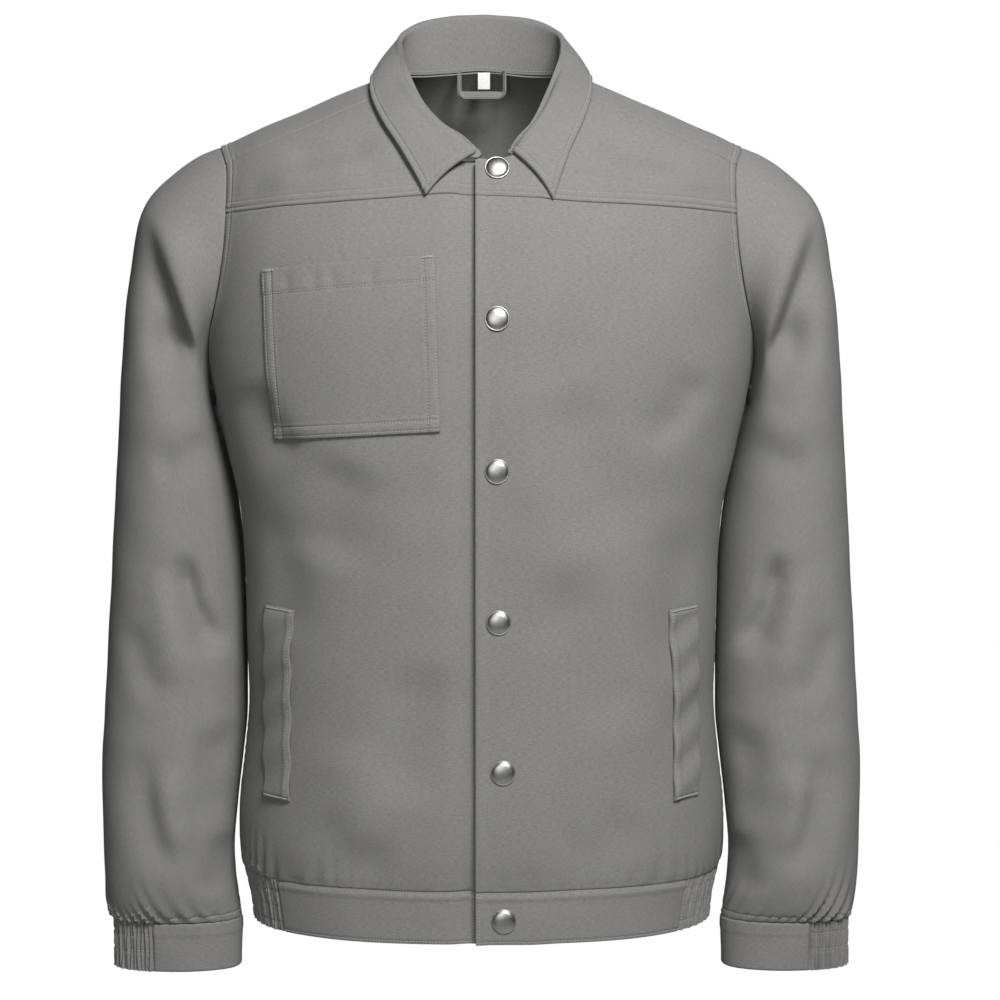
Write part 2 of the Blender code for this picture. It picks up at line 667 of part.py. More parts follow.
def add_back(name):
    """The halves share their centre line below the neck, and part along the neck edge."""
    halves, split_row = back_halves()
    halves = [trimmed(grid, sides="outer first last") for grid in halves]
    for grid in halves:
        for row in grid[split_row:]:
            point, normal = row[0]
            row[0] = (point + (row[1][0] - point).normalized() * SEAM / 2, normal)
        for row in grid[:split_row + 1]:
            middle, normal = row[0]
            middle.x = 0.0
            row[0] = (middle, normal)
    for right_row, left_row in zip(halves[0][:split_row + 1], halves[1]):
        right_row[0] = left_row[0]
    points, faces, index_of = [], [], {}

    def index(place):
        key = tuple(round(value, 7) for value in place[0])
        if key not in index_of:
            index_of[key] = len(points)
            points.append(place)
        return index_of[key]

    for grid, order in zip(halves, (-1, 1)):
        for lower, upper in zip(grid, grid[1:]):
            for near in range(PANEL_COLUMNS):
                corners = (lower[near], lower[near + 1], upper[near + 1], upper[near])
                faces.append(tuple(index(corner) for corner in corners)[::order])
    count = len(points)
    edges = {edge for face in faces for edge in zip(face, face[1:] + face[:1])}
    faces += [tuple(number + count for number in reversed(face)) for face in faces]
    faces += [(end, start, start + count, end + count)
              for start, end in edges if (end, start) not in edges]
    inner = [point - normal * CLOTH for point, normal in points]
    return add_solid(name, [point for point, normal in points] + inner, faces)


# ================================================================ sleeves and cuffs
def sleeve_turns():
    """Each column of a sleeve, as a step round the armhole and the face it is on."""
    front = [(step, FRONT) for step in FRONT_ARM_STEPS]
    back = [(step, BACK) for step in BACK_ARM_STEPS[-2:0:-1]]
    return front + back


def section_at(number, turn):
    """A place on a sleeve's oval section; turn is 0 at its outer side, forwards first."""
    inner_x, inner_z, outer_x, outer_z, mid_y, half_depth = smooth_row(SLEEVE_SECTIONS, number)
    exponent = 2 / (2 + (SLEEVE_ROUNDNESS - 2) * ease(0, 6, number))
    share = (1 + signed_power(math.cos(turn), exponent)) / 2
    return Vector((
        inner_x + (outer_x - inner_x) * share,
        mid_y - half_depth * signed_power(math.sin(turn), exponent),
        inner_z + (outer_z - inner_z) * share,
    ))


def sleeve_point(number, step, face):
    turn = -face * math.pi * step
    point = section_at(number, turn)
    fade = 1 - ease(0, ARMHOLE_FADE, number)
    if fade > 0:
        point += (armhole_at(step, face)[0] - section_at(0, turn)) * fade
    return point


def sleeve_grid(side):
    turns = sleeve_turns()
    last = SLEEVE_SECTIONS[-1].number
    grid = []
    for number in range(last + 1):
        row = []
        for step, face in turns:
            point = sleeve_point(number, step, face)
            nudge = 0.02
            ahead = sleeve_point(min(number + nudge, last), step, face)
            behind = sleeve_point(max(number - nudge, 0), step, face)
            along = ahead - behind
            turn = -face * math.pi * step
            swing = section_at(number, turn + nudge) - section_at(number, turn - nudge)
            normal = swing.cross(along).normalized()
            centre = (section_at(number, 0) + section_at(number, math.pi)) / 2
            if normal.dot(point - centre) < 0:
                normal = -normal
            if number == 0:
                normal = Vector((0, point.y, point.z - centre.z)).normalized()
            own_fade = ease(1, 3, number) * (1 - ease(last - 2, last, number))
            sink = fold_depth(SLEEVE_FOLDS, face, point.x, point.z) * own_fade
            sink *= abs(math.sin(turn))
            row.append((point - normal * sink, normal))
        grid.append(row)
    return mirrored(trimmed(grid, sides="first last"), side)


def cuff_at(turn, level):
    """A place on the left cuff; turn is 0 at the front and a quarter outwards."""
    depth = CUFF_HALF_DEPTH[0] + (CUFF_HALF_DEPTH[1] - CUFF_HALF_DEPTH[0]) * level
    mid_y = CUFF_MID_Y[0] + (CUFF_MID_Y[1] - CUFF_MID_Y[0]) * level
    top = SLEEVE_SECTIONS[-1].inner_z
    exponent = 2 / SLEEVE_ROUNDNESS
    point = Vector((
        CUFF_MID_X + CUFF_HALF_WIDTH * signed_power(math.sin(turn), exponent),
        mid_y - depth * signed_power(math.cos(turn), exponent),
        top + (CUFF_BOTTOM - top) * level,
    ))
    reach = SLEEVE_ROUNDNESS - 1
    normal = Vector((
        signed_power((point.x - CUFF_MID_X) / CUFF_HALF_WIDTH, reach) / CUFF_HALF_WIDTH,
        signed_power((point.y - mid_y) / depth, reach) / depth,
        0,
    )).normalized()
    return point, normal


def zigzag(row, column):
    """Gathers stand out at every second column of an elastic piece."""
    return GATHER_HEIGHT if column % 2 else 0.0


def add_cuff(side, side_name):
    start, end = CUFF_ELASTIC
    plain_span = 2 * math.pi - (end - start)
    plain_columns, elastic_columns = 14, 2 * CUFF_GATHERS
    plain = [[cuff_at(end + plain_span * column / plain_columns, level)
              for column in range(plain_columns + 1)] for level in (0, 0.5, 1)]
    wall("cuff_plain_" + side_name, mirrored(trimmed(plain), side))
    elastic = [[cuff_at(start + (end - start) * column / elastic_columns, level)
                for column in range(elastic_columns + 1)] for level in (0, 0.5, 1)]
    elastic = [[(point - normal * ELASTIC_SET_BACK, normal) for point, normal in row]
               for row in elastic]
    wall("cuff_elastic_" + side_name, mirrored(trimmed(elastic), side), raised=zigzag)


# ================================================================ waistband
def band_grid(start, end, columns, side, levels=(0, 0.5, 1)):
    """A stretch of the waistband; turns run from the front centre round to the back."""
    grid = []
    for level in levels:
        height = BAND_TOP + (HEM - BAND_TOP) * level
        lift = lift_at(0, height, FRONT)
        row = []
        for column in range(columns + 1):
            turn = start + (end - start) * column / columns
            face = FRONT if turn < QUARTER else BACK
            angle = turn if face == FRONT else 2 * QUARTER - turn
            row.append(own_place((angle, lift, face), side))
        grid.append(row)
    return grid


def add_waistband():
    start, end = WAIST_ELASTIC
    for side, side_name in ((RIGHT, "right"), (LEFT, "left")):
        first = angle_at(edge_across(side), BAND_TOP)
        grid = trimmed(band_grid(first, start, 12, side))
        wall("waistband_front_" + side_name, mirrored(lapped(grid, side), side))
        grid = band_grid(start, end, 2 * WAIST_GATHERS, side)
        grid = [[(point - normal * ELASTIC_SET_BACK, normal) for point, normal in row]
                for row in grid]
        wall("waistband_elastic_" + side_name, mirrored(trimmed(grid), side), raised=zigzag)
    right = mirrored(band_grid(end, math.pi, 8, RIGHT), RIGHT)
    left = band_grid(end, math.pi, 8, LEFT)
    whole = [right_row + left_row[-2::-1] for right_row, left_row in zip(right, left)]
    wall("waistband_back", trimmed(whole))


# ================================================================ collar
def edge_of_fall(x, y):
    """The place on the body form, from above, over which the collar's free edge lies."""
    face = FRONT if y < 0 else BACK
    angle = angle_at(x, CHEST)
    depth = smooth_row(BODY_RINGS, CHEST)[1 if face == FRONT else 2]
    depth *= math.cos(angle) ** (2 / ROUNDNESS)
    exponent = arch_exponent(x, face)
    rise = (1 - (abs(y) / depth) ** exponent) ** (1 / exponent)
    return body_at(angle, math.asin(rise ** (exponent / 2)), face)[0]


def collar_lap(point):
    """The left front's lap where the collar crosses it, at the front of the neck."""
    return lap_height(point.x) if point.y < NECK_FRONT / 2 else 0.0


def lifted_clear(point):
    """The place, moved out if need be so that the collar's cloth lies on the body there."""
    short = COLLAR_LIFT + collar_lap(point) - gap_to_body(point)
    return point + outward(point) * max(short, 0.0)


def collar_section(post, side):
    """The middle line of the collar's cloth across one post: stand, fold and fall."""
    neck_turn = side * math.radians(post.neck_turn) + post.shift / NECK_HALF_WIDTH
    neck, neck_normal = neck_at(neck_turn)
    neck += neck_normal * collar_lap(neck)
    roll = Vector((side * post.roll_x + post.shift, post.roll_y, post.roll_z))
    edge_x = side * post.edge_x + post.shift * EDGE_SHIFT_SHARE
    edge = lifted_clear(edge_of_fall(edge_x, post.edge_y))
    out = edge - neck
    out.z = 0
    out.normalize()
    up = (roll - neck).normalized()
    centre = roll - up * ROLL_RADIUS
    line = [neck + up * COLLAR_SEAM]
    line.append(line[0].lerp(centre - out * ROLL_RADIUS, 0.5))
    for turn in (180, 135, 90, 45, 0):
        turn = math.radians(turn)
        line.append(centre + (out * math.cos(turn) + up * math.sin(turn)) * ROLL_RADIUS)
    fold_end = line[-1] = lifted_clear(line[-1])
    belly = (edge - fold_end).cross(Vector((-out.y, out.x, 0))).normalized()
    if belly.z < 0:
        belly = -belly
    for share in (0.25, 0.5, 0.75):
        bow = belly * FALL_BELLY * math.sin(share * math.pi)
        line.append(lifted_clear(fold_end.lerp(edge, share) + bow))
    line.append(edge)
    return line


def add_collar():
    lines = [collar_section(post, RIGHT) for post in COLLAR_POSTS]
    lines += [collar_section(post, LEFT) for post in reversed(COLLAR_POSTS[:-1])]
    grid = []
    for number, line in enumerate(lines):
        before, after = lines[max(number - 1, 0)], lines[min(number + 1, len(lines) - 1)]
        row = []
        for place, point in enumerate(line):
            along = after[place] - before[place]
            across = line[min(place + 1, len(line) - 1)] - line[max(place - 1, 0)]
            normal = along.cross(across).normalized()
            row.append((point + normal * COLLAR_CLOTH / 2, normal))
        grid.append(row)
    return wall("collar", grid, cloth=COLLAR_CLOTH)


# ================================================================ what lies on the fronts
def seat_on(carrier, point):
    """The nearest place on a finished solid's surface, and the direction out of it."""
    tree = BVHTree.FromPolygons([corner.co for corner in carrier.data.vertices],
                                [face.vertices for face in carrier.data.polygons])
    return tree.find_nearest(point)[:2]


def add_patch(name, carrier, corners, columns, rows, cloth, double=0.0):
    """A patch between four corners of X and height, made from its carrier's surface."""
    top_inner, top_outer, end_outer, end_inner = [Vector(corner) for corner in corners]
    grid = []
    for row in range(rows + 1):
        inner = top_inner.lerp(end_inner, row / rows)
        outer = top_outer.lerp(end_outer, row / rows)
        line = []
        for column in range(columns + 1):
            place = inner.lerp(outer, column / columns)
            point, normal = front_at(*place)
            if carrier.name.endswith("left"):
                point += normal * lap_height(point.x)
            seat = seat_on(carrier, point)[0]
            line.append((seat + normal * (LYING_GAP + cloth), normal))
        grid.append(line)
    hem_rows = math.ceil(double * rows)

    def folded(row, column):
        return POCKET_HEM_RISE if row <= hem_rows else 0.0

    return wall(name, grid, cloth=cloth, raised=folded if double else None)


def add_snaps():
    metal = {"finish_name": "snap_metal", "finish": SNAP_METAL}
    for number, x in enumerate(SNAP_X):
        piece = {0: "front_yoke_", len(SNAP_X) - 1: "waistband_front_"}.get(number, "front_")
        point, normal = front_at(x, SNAP_TOP - SNAP_PITCH * number)
        cloth_over, cloth_under = bpy.data.objects[piece + "left"], bpy.data.objects[piece + "right"]
        seat = seat_on(cloth_over, point + normal * LAP)[0]
        turned("snap_cap_%d" % (number + 1), SNAP_CAP, SNAP_CAP_TOP,
               seat + normal * SNAP_GAP, normal, **metal)
        seat = seat_on(cloth_under, point - normal * 2 * CLOTH)[0]
        turned("snap_back_%d" % (number + 1), SNAP_BACK, SNAP_BACK_TOP,
               seat - normal * SNAP_GAP, -normal, **metal)


# ================================================================ inside the neck
def add_loop():
    """The hanging loop: a narrow band down, across and up again."""
    half, corner = LOOP_HALF_WIDTH, LOOP_CORNER
    path = [(-half, LOOP_TOP), (-half, LOOP_BOTTOM + corner)]
    for turn in (22.5, 45, 67.5):
        turn = math.radians(turn)
        path.append((-half + corner * (1 - math.cos(turn)),
                     LOOP_BOTTOM + corner * (1 - math.sin(turn))))
    path.append((-half + corner, LOOP_BOTTOM))
    path += [(-x, z) for x, z in reversed(path)]
    grid = []
    for number, (x, z) in enumerate(path):
        before, after = path[max(number - 1, 0)], path[min(number + 1, len(path) - 1)]
        along = Vector((after[0] - before[0], 0, after[1] - before[1])).normalized()
        aside = Vector((-along.z, 0, along.x)) * LOOP_BAND / 2
        middle = Vector((x, LOOP_Y, z))
        toward_front = Vector((0, -1, 0))
        grid.append([(middle - aside, toward_front), (middle + aside, toward_front)])
    return wall("hanging_loop", grid, cloth=LOOP_CLOTH)


def add_label():
    toward_front = Vector((0, -1, 0))
    grid = [[(Vector((x, LABEL_Y, z)), toward_front) for x in LABEL_X]
            for z in reversed(LABEL_Z)]
    return wall("size_label_blank", grid, cloth=LABEL_CLOTH,
                finish_name="label_white", finish=LABEL_WHITE)


def mirror_corners(corners):
    """The same corners on the other side of the body, in the same order round the patch."""
    top_inner, top_outer, end_outer, end_inner = corners
    return tuple(Corner(-corner.x, corner.z)
                 for corner in (top_outer, top_inner, end_inner, end_outer))


clear_scene()
fronts = []
for jacket_side, jacket_side_name in ((RIGHT, "right"), (LEFT, "left")):
    fronts.append(wall("front_" + jacket_side_name,
                       mirrored(front_grid(jacket_side), jacket_side)))
    add_yoke("front_yoke_" + jacket_side_name, jacket_side)
    wall("sleeve_" + jacket_side_name, sleeve_grid(jacket_side), ring=True)
    add_cuff(jacket_side, jacket_side_name)
add_back("back")
add_waistband()
add_collar()
add_patch("chest_pocket", fronts[0], CHEST_POCKET, 8, 8, POCKET_CLOTH, double=POCKET_HEM)
add_patch("pocket_welt_right", fronts[0], RIGHT_WELT, 2, 10, WELT_CLOTH)
add_patch("pocket_welt_left", fronts[1], mirror_corners(RIGHT_WELT), 2, 10, WELT_CLOTH)
add_snaps()
add_loop()
add_label()
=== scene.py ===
"""Looks of a grey canvas work jacket, filled out as if worn: cloth, sewing, gathers, snaps.

Metres, +Z up; the chest faces -Y and the wearer's right side is at -X.
"""

import math
from collections import namedtuple

import bpy
import numpy as np
from mathutils import Matrix, Vector


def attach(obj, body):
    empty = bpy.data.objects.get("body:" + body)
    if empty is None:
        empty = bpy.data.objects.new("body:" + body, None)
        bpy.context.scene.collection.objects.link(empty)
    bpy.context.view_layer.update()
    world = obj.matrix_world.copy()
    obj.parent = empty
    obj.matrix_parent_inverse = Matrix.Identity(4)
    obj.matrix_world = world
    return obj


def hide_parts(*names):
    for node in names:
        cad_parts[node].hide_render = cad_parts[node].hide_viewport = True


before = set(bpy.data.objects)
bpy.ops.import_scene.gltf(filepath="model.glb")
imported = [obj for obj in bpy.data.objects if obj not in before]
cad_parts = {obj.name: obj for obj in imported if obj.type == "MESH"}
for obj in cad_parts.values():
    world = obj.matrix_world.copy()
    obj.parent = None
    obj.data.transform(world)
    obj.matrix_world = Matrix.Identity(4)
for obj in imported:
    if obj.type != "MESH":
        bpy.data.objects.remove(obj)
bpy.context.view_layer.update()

for node in bpy.context.selected_objects:
    node.select_set(False)

# ------------------------------------------------------------------ camera, floor and light
# The jacket is seen from the front, level with the chest, at 1.9 m, over a pale floor. A soft
# box lights it from high on the right, a weak, level one from the left, and a third its back.
CAMERA_PLACE, CAMERA_AIM, LENS = (0, -1.9, -0.2496), (0.0148, 0, -0.3296), 85.5
FLOOR_HEIGHT, FLOOR_RADIUS, FLOOR_GREY = -1.45, 2.2, 0.55
SoftBox = namedtuple("SoftBox", "place size watts")
SOFT_BOXES = (SoftBox((0.58, -1.72, 1.15), 0.7, 60), SoftBox((-0.40, -2.30, 0.0), 0.9, 10),
              SoftBox((0.0, 2.40, 1.10), 1.4, 34))
LIGHT_AIM = (0, 0, -0.32)
ROOM_COLOUR, ROOM_STRENGTH = (0.96, 0.98, 1.0, 1), 0.02

bpy.ops.object.camera_add(location=CAMERA_PLACE)
camera = bpy.context.object
camera.data.lens = LENS
aim = Vector(CAMERA_AIM) - camera.location
camera.rotation_euler = aim.to_track_quat("-Z", "Y").to_euler()
bpy.context.scene.camera = camera

bpy.ops.mesh.primitive_circle_add(vertices=128, radius=FLOOR_RADIUS, fill_type="NGON",
                                  location=(0, 0, FLOOR_HEIGHT))
floor = bpy.context.object
floor.name = "floor"


def new_material(name, settings):
    """A material with its nodes, links and shader, whose inputs take the settings."""
    made = bpy.data.materials.new(name)
    made.use_nodes = True
    shader = made.node_tree.nodes["Principled BSDF"]
    for socket, value in settings.items():
        shader.inputs[socket].default_value = value
    return made, made.node_tree.nodes, made.node_tree.links, shader


floor_paint = new_material("pale_floor", {"Base Color": (FLOOR_GREY,) * 3 + (1,),
                                          "Roughness": 0.8})[0]
floor.data.materials.append(floor_paint)

for box in SOFT_BOXES:
    bpy.ops.object.light_add(type="AREA", location=box.place)
    light = bpy.context.object
    light.data.size = box.size
    light.data.energy = box.watts
    toward = Vector(LIGHT_AIM) - light.location
    light.rotation_euler = toward.to_track_quat("-Z", "Y").to_euler()

world = bpy.data.worlds.new("studio")
world.use_nodes = True
bpy.context.scene.world = world
air = world.node_tree
air.nodes.clear()
seen = air.nodes.new("ShaderNodeBackground")
seen.inputs["Color"].default_value = (1, 1, 1, 1)
lit = air.nodes.new("ShaderNodeBackground")
lit.inputs["Color"].default_value = ROOM_COLOUR
lit.inputs["Strength"].default_value = ROOM_STRENGTH
path = air.nodes.new("ShaderNodeLightPath")
either = air.nodes.new("ShaderNodeMixShader")
out = air.nodes.new("ShaderNodeOutputWorld")
air.links.new(path.outputs["Is Camera Ray"], either.inputs[0])
air.links.new(lit.outputs[0], either.inputs[1])
air.links.new(seen.outputs[0], either.inputs[2])
air.links.new(either.outputs[0], out.inputs[0])
bpy.context.scene.view_settings.view_transform = "Standard"

# ------------------------------------------------------------------ the back
# One cut piece of washed mid-grey cotton canvas, carried over the shoulders to the forward
# shoulder seams. Every piece is a stretch of one smooth hollow form: level rings up to the
# chest and arches over the shoulders, with its drape creases sunk into it.
FRONT, BACK = -1, 1
RIGHT, LEFT = -1, 1
SIDES = ((RIGHT, "right"), (LEFT, "left"))
QUARTER = math.pi / 2
ROUNDNESS = 2.35
CHEST = -0.200
LIFT_METRES = 0.150
UNDERARM, BAND_TOP, HEM = -0.245, -0.620, -0.660
CLOTH = 0.0013
RIDGE_PEAK, RIDGE_SLOPE, RIDGE_ROUNDING = 0.0437, 0.444, 0.030
BACK_ARCH, CHEST_ARCH = 2.4, 1.75

Ring = namedtuple("Ring", "height half_width front back")
BODY_RINGS = (
    Ring(CHEST, 0.2170, 0.1380, 0.1320),
    Ring(-0.222, 0.2153, 0.1380, 0.1320),
    Ring(UNDERARM, 0.2110, 0.1380, 0.1310),
    Ring(-0.290, 0.2015, 0.1370, 0.1300),
    Ring(-0.333, 0.1920, 0.1360, 0.1280),
    Ring(-0.383, 0.1880, 0.1340, 0.1260),
    Ring(-0.450, 0.1865, 0.1320, 0.1230),
    Ring(-0.490, 0.1855, 0.1310, 0.1220),
    Ring(-0.530, 0.1890, 0.1310, 0.1210),
    Ring(-0.565, 0.1930, 0.1310, 0.1210),
    Ring(-0.595, 0.1937, 0.1300, 0.1210),
    Ring(-0.612, 0.1920, 0.1275, 0.1190),
    Ring(BAND_TOP, 0.1895, 0.1260, 0.1170),
    Ring(-0.640, 0.1850, 0.1258, 0.1150),
    Ring(HEM, 0.1825, 0.1255, 0.1140),
)
Armhole = namedtuple("Armhole", "height across")
ARMHOLE = (
    Armhole(-0.0491, 0.2070),
    Armhole(-0.067, 0.1990),
    Armhole(-0.084, 0.1972),
    Armhole(-0.108, 0.1970),
    Armhole(-0.133, 0.1985),
    Armhole(-0.158, 0.2022),
    Armhole(-0.181, 0.2075),
    Armhole(-0.197, 0.2120),
    Armhole(-0.214, 0.2142),
    Armhole(-0.230, 0.2135),
    Armhole(UNDERARM, 0.2110),
)
NECK_HALF_WIDTH, NECK_FRONT, NECK_BACK, NECK_SQUARENESS = 0.0757, -0.106, 0.055, 0.90
SHOULDER_SEAM_TURN = math.radians(74)
SHOULDER_SEAM_ARM = 0.192


def smooth(table, place):
    """A table's other columns at places in its first one, on a smooth curve through it."""
    rows = np.array(sorted(map(tuple, table)), float)
    at = rows[:, 0]
    place = np.clip(place, at[0], at[-1])
    low = np.clip(np.searchsorted(at, place, side="right") - 1, 0, len(at) - 2)
    high = low + 1
    before, after = np.maximum(low - 1, 0), np.minimum(high + 1, len(at) - 1)
    span = at[high] - at[low]
    part = ((place - at[low]) / span)[..., None]
    leave = (rows[high] - rows[before]) * (span / (at[high] - at[before]))[..., None]
    arrive = (rows[after] - rows[low]) * (span / (at[after] - at[low]))[..., None]
    square, cube = part ** 2, part ** 3
    mixed = (rows[low] * (2 * cube - 3 * square + 1) + leave * (cube - 2 * square + part)
             + rows[high] * (3 * square - 2 * cube) + arrive * (cube - square))
    return np.moveaxis(mixed[..., 1:], -1, 0)


def ease(start, end, value):
    """0 before start and 1 after end, with a smooth rise between them."""
    share = np.clip((value - start) / (end - start), 0, 1)
    return share * share * (3 - 2 * share)


def signed(value, exponent):
    """A power that keeps its value's sign."""
    return np.sign(value) * np.abs(value) ** exponent


def ridge(x):
    """Height of the shoulder ridge."""
    return RIDGE_PEAK - RIDGE_SLOPE * np.hypot(x, RIDGE_ROUNDING)


def arch(x, face):
    """Exponent of the arch over the chest or the back."""
    to_shoulder = (x / ARMHOLE[0].across) ** 2
    return np.where(face == BACK, BACK_ARCH, CHEST_ARCH + (BACK_ARCH - CHEST_ARCH) * to_shoulder)


def angle_at(x, z):
    """Angle round the form of a place on it."""
    half_width = smooth(BODY_RINGS, np.minimum(z, CHEST))[0]
    return np.sign(x) * np.arcsin(np.minimum(np.abs(x) / half_width, 1) ** (ROUNDNESS / 2))


def lift_at(x, z, face):
    """Lift of a place: below 0 under the chest, up to a quarter turn on the shoulder ridge."""
    rise = np.clip((z - CHEST) / (ridge(x) - CHEST), 0, 1)
    return np.where(z <= CHEST, (z - CHEST) / LIFT_METRES,
                    np.arcsin(rise ** (arch(x, face) / 2)))


def on_form(angle, lift, face):
    """Places on the smooth form of the jacket's body."""
    over = lift > QUARTER
    face = np.where(over, -face, face)
    lift = np.where(over, 2 * QUARTER - lift, lift)
    half_width, front, back = smooth(BODY_RINGS, CHEST + np.minimum(lift, 0) * LIFT_METRES)
    x = half_width * signed(np.sin(angle), 2 / ROUNDNESS)
    depth = np.where(face == FRONT, front, back) * np.maximum(np.cos(angle), 0) ** (2 / ROUNDNESS)
    up, exponent = np.maximum(lift, 0), 2 / arch(x, face)
    y = face * depth * np.maximum(np.cos(up), 0) ** exponent
    z = CHEST + np.minimum(lift, 0) * LIFT_METRES
    z = z + (ridge(x) - CHEST) * np.sin(up) ** exponent
    return np.stack([x, y, z], -1)


def fullness(points):
    """1 on the form, less inside it and more outside it."""
    x, y, z = np.moveaxis(points, -1, 0)
    half_width, front, back = smooth(BODY_RINGS, np.minimum(z, CHEST))
    face = np.where(y < 0, FRONT, BACK)
    depth = np.where(y < 0, front, back)
    level = (np.abs(x) / half_width) ** ROUNDNESS
    low = level + (np.abs(y) / depth) ** ROUNDNESS
    edge = np.maximum(1 - level, 1e-6) ** (1 / ROUNDNESS)
    exponent = arch(x, face)
    rise = np.maximum(z - CHEST, 0) / (ridge(x) - CHEST)
    return np.where(z <= CHEST, low, (np.abs(y) / (depth * edge)) ** exponent + rise ** exponent)


def unit(vectors):
    """The same directions, one metre long."""
    return vectors / np.maximum(np.linalg.norm(vectors, axis=-1, keepdims=True), 1e-12)


def outward(points):
    """Directions straight out of the form."""
    steps = 0.0002 * np.eye(3)
    return unit(np.stack([fullness(points + step) - fullness(points - step) for step in steps], -1))


# A crease follows its path of (X, Z). A depth below 0 is a ridge. With X to the right and Z up,
# plus and minus are its widths to the left and the right of the path as it runs.
Crease = namedtuple("Crease", "face depth plus minus path")
CREASE_END = 0.3
BODY_CREASES = (
    Crease(FRONT, 0.00576, 0.026, 0.034, ((0.058, -0.235), (0.080, -0.300), (0.101, -0.365))),
    Crease(FRONT, 0.00544, 0.022, 0.032, ((0.058, -0.368), (0.087, -0.440), (0.114, -0.508))),
    Crease(FRONT, -0.00544, 0.036, 0.030, ((0.020, -0.205), (0.050, -0.306), (0.128, -0.560))),
    Crease(FRONT, 0.0064, 0.014, 0.022, ((-0.178, -0.232), (-0.166, -0.262), (-0.140, -0.300))),
    Crease(FRONT, 0.0048, 0.030, 0.024, ((-0.096, -0.290), (-0.112, -0.330), (-0.128, -0.376))),
    Crease(FRONT, 0.0048, 0.030, 0.024, ((-0.044, -0.440), (-0.052, -0.500), (-0.064, -0.560))),
    Crease(FRONT, 0.00416, 0.012, 0.020, ((0.172, -0.225), (0.150, -0.262), (0.118, -0.285))),
    Crease(FRONT, 0.00352, 0.012, 0.010, ((-0.072, -0.055), (-0.115, -0.060), (-0.155, -0.062))),
    Crease(FRONT, -0.00352, 0.013, 0.011, ((-0.080, -0.076), (-0.130, -0.081), (-0.176, -0.085))),
    Crease(FRONT, 0.0032, 0.010, 0.012, ((0.085, -0.054), (0.120, -0.060), (0.160, -0.066))),
    Crease(FRONT, -0.0032, 0.012, 0.012, ((0.085, -0.078), (0.130, -0.083), (0.178, -0.088))),
    Crease(FRONT, 0.00352, 0.020, 0.026, ((0.120, -0.560), (0.090, -0.590), (0.050, -0.600))),
    Crease(FRONT, 0.00352, 0.020, 0.022, ((-0.130, -0.560), (-0.100, -0.592), (-0.060, -0.602))),
    Crease(FRONT, -0.00352, 0.028, 0.028, ((-0.100, -0.500), (-0.098, -0.560), (-0.094, -0.605))),
    Crease(FRONT, 0.00384, 0.016, 0.020, ((0.160, -0.330), (0.150, -0.400), (0.152, -0.470))),
    Crease(FRONT, 0.00384, 0.020, 0.016, ((-0.158, -0.330), (-0.150, -0.390), (-0.152, -0.440))),
    Crease(BACK, 0.0072, 0.032, 0.026, ((-0.150, -0.200), (-0.105, -0.300), (-0.058, -0.430))),
    Crease(BACK, 0.0072, 0.024, 0.034, ((0.148, -0.190), (0.100, -0.280), (0.046, -0.410))),
    Crease(BACK, 0.00544, 0.030, 0.030, ((0.004, -0.400), (0.016, -0.500), (0.036, -0.600))),
    Crease(BACK, 0.0048, 0.026, 0.030, ((-0.096, -0.450), (-0.110, -0.530), (-0.128, -0.605))),
    Crease(BACK, -0.00448, 0.034, 0.030, ((-0.052, -0.180), (-0.030, -0.300), (-0.020, -0.420))),
    Crease(BACK, 0.00384, 0.016, 0.016, ((-0.150, -0.090), (-0.085, -0.070), (-0.020, -0.066))),
    Crease(BACK, 0.00384, 0.016, 0.016, ((0.152, -0.094), (0.090, -0.078), (0.030, -0.072))),
    Crease(BACK, -0.00384, 0.030, 0.026, ((0.112, -0.420), (0.100, -0.500), (0.088, -0.590))),
    Crease(BACK, 0.00416, 0.014, 0.022, ((0.176, -0.240), (0.140, -0.290), (0.105, -0.315))),
    Crease(BACK, 0.00416, 0.022, 0.014, ((-0.176, -0.240), (-0.142, -0.285), (-0.100, -0.320))),
)


def creased(creases, face, places):
    """How far the creases of one face sink places into the cloth."""
    x, z = places[..., 0], places[..., 2]
    sunk = np.zeros(x.shape)
    for crease in creases:
        if crease.face != face:
            continue
        path = np.array(crease.path)
        lengths = np.hypot(*np.diff(path, axis=0).T)
        gap, side, along = np.full(x.shape, 9.0), np.ones(x.shape), np.zeros(x.shape)
        run = 0.0
        for start, stop, length in zip(path, path[1:], lengths):
            way = (stop - start) / length
            share = np.clip((x - start[0]) * way[0] + (z - start[1]) * way[1], 0, length)
            off_x, off_z = x - start[0] - way[0] * share, z - start[1] - way[1] * share
            away = np.hypot(off_x, off_z)
            near = away < gap
            gap = np.where(near, away, gap)
            side = np.where(near, way[0] * off_z - way[1] * off_x, side)
            along = np.where(near, (run + share) / lengths.sum(), along)
            run += length
        fade = ease(0, CREASE_END, along) * ease(0, CREASE_END, 1 - along)
        width = np.where(side > 0, crease.plus, crease.minus)
        sunk += crease.depth * fade * np.exp(-(gap / width) ** 2)
    return sunk


def rippled(points, height):
    """Shallow unevenness of hanging cloth."""
    x, y, z = np.moveaxis(points, -1, 0)
    wave = (np.sin(61 * x + 37 * z + 3 * np.sin(19 * z)) * np.sin(43 * z - 29 * x + 1.7)
            + 0.6 * np.sin(97 * x - 71 * z + 2.1 * np.sin(31 * x + 5 * y) + 0.6))
    return height * wave


# Near a piece's outer side its creases die out over this share of its width.
SIDE_FADE = 0.16


def on_body(angle, lift, face, fade=1.0):
    """Places on the creased cloth of the body, and the directions out of it."""
    points = on_form(angle, lift, face)
    normals = outward(points)
    shown = np.where(lift > QUARTER, -face, face)
    sunk = -rippled(points, 0.00035)
    for one_face in (FRONT, BACK):
        sunk += np.where(shown == one_face, creased(BODY_CREASES, one_face, points), 0)
    return points - normals * (sunk * fade)[..., None], normals


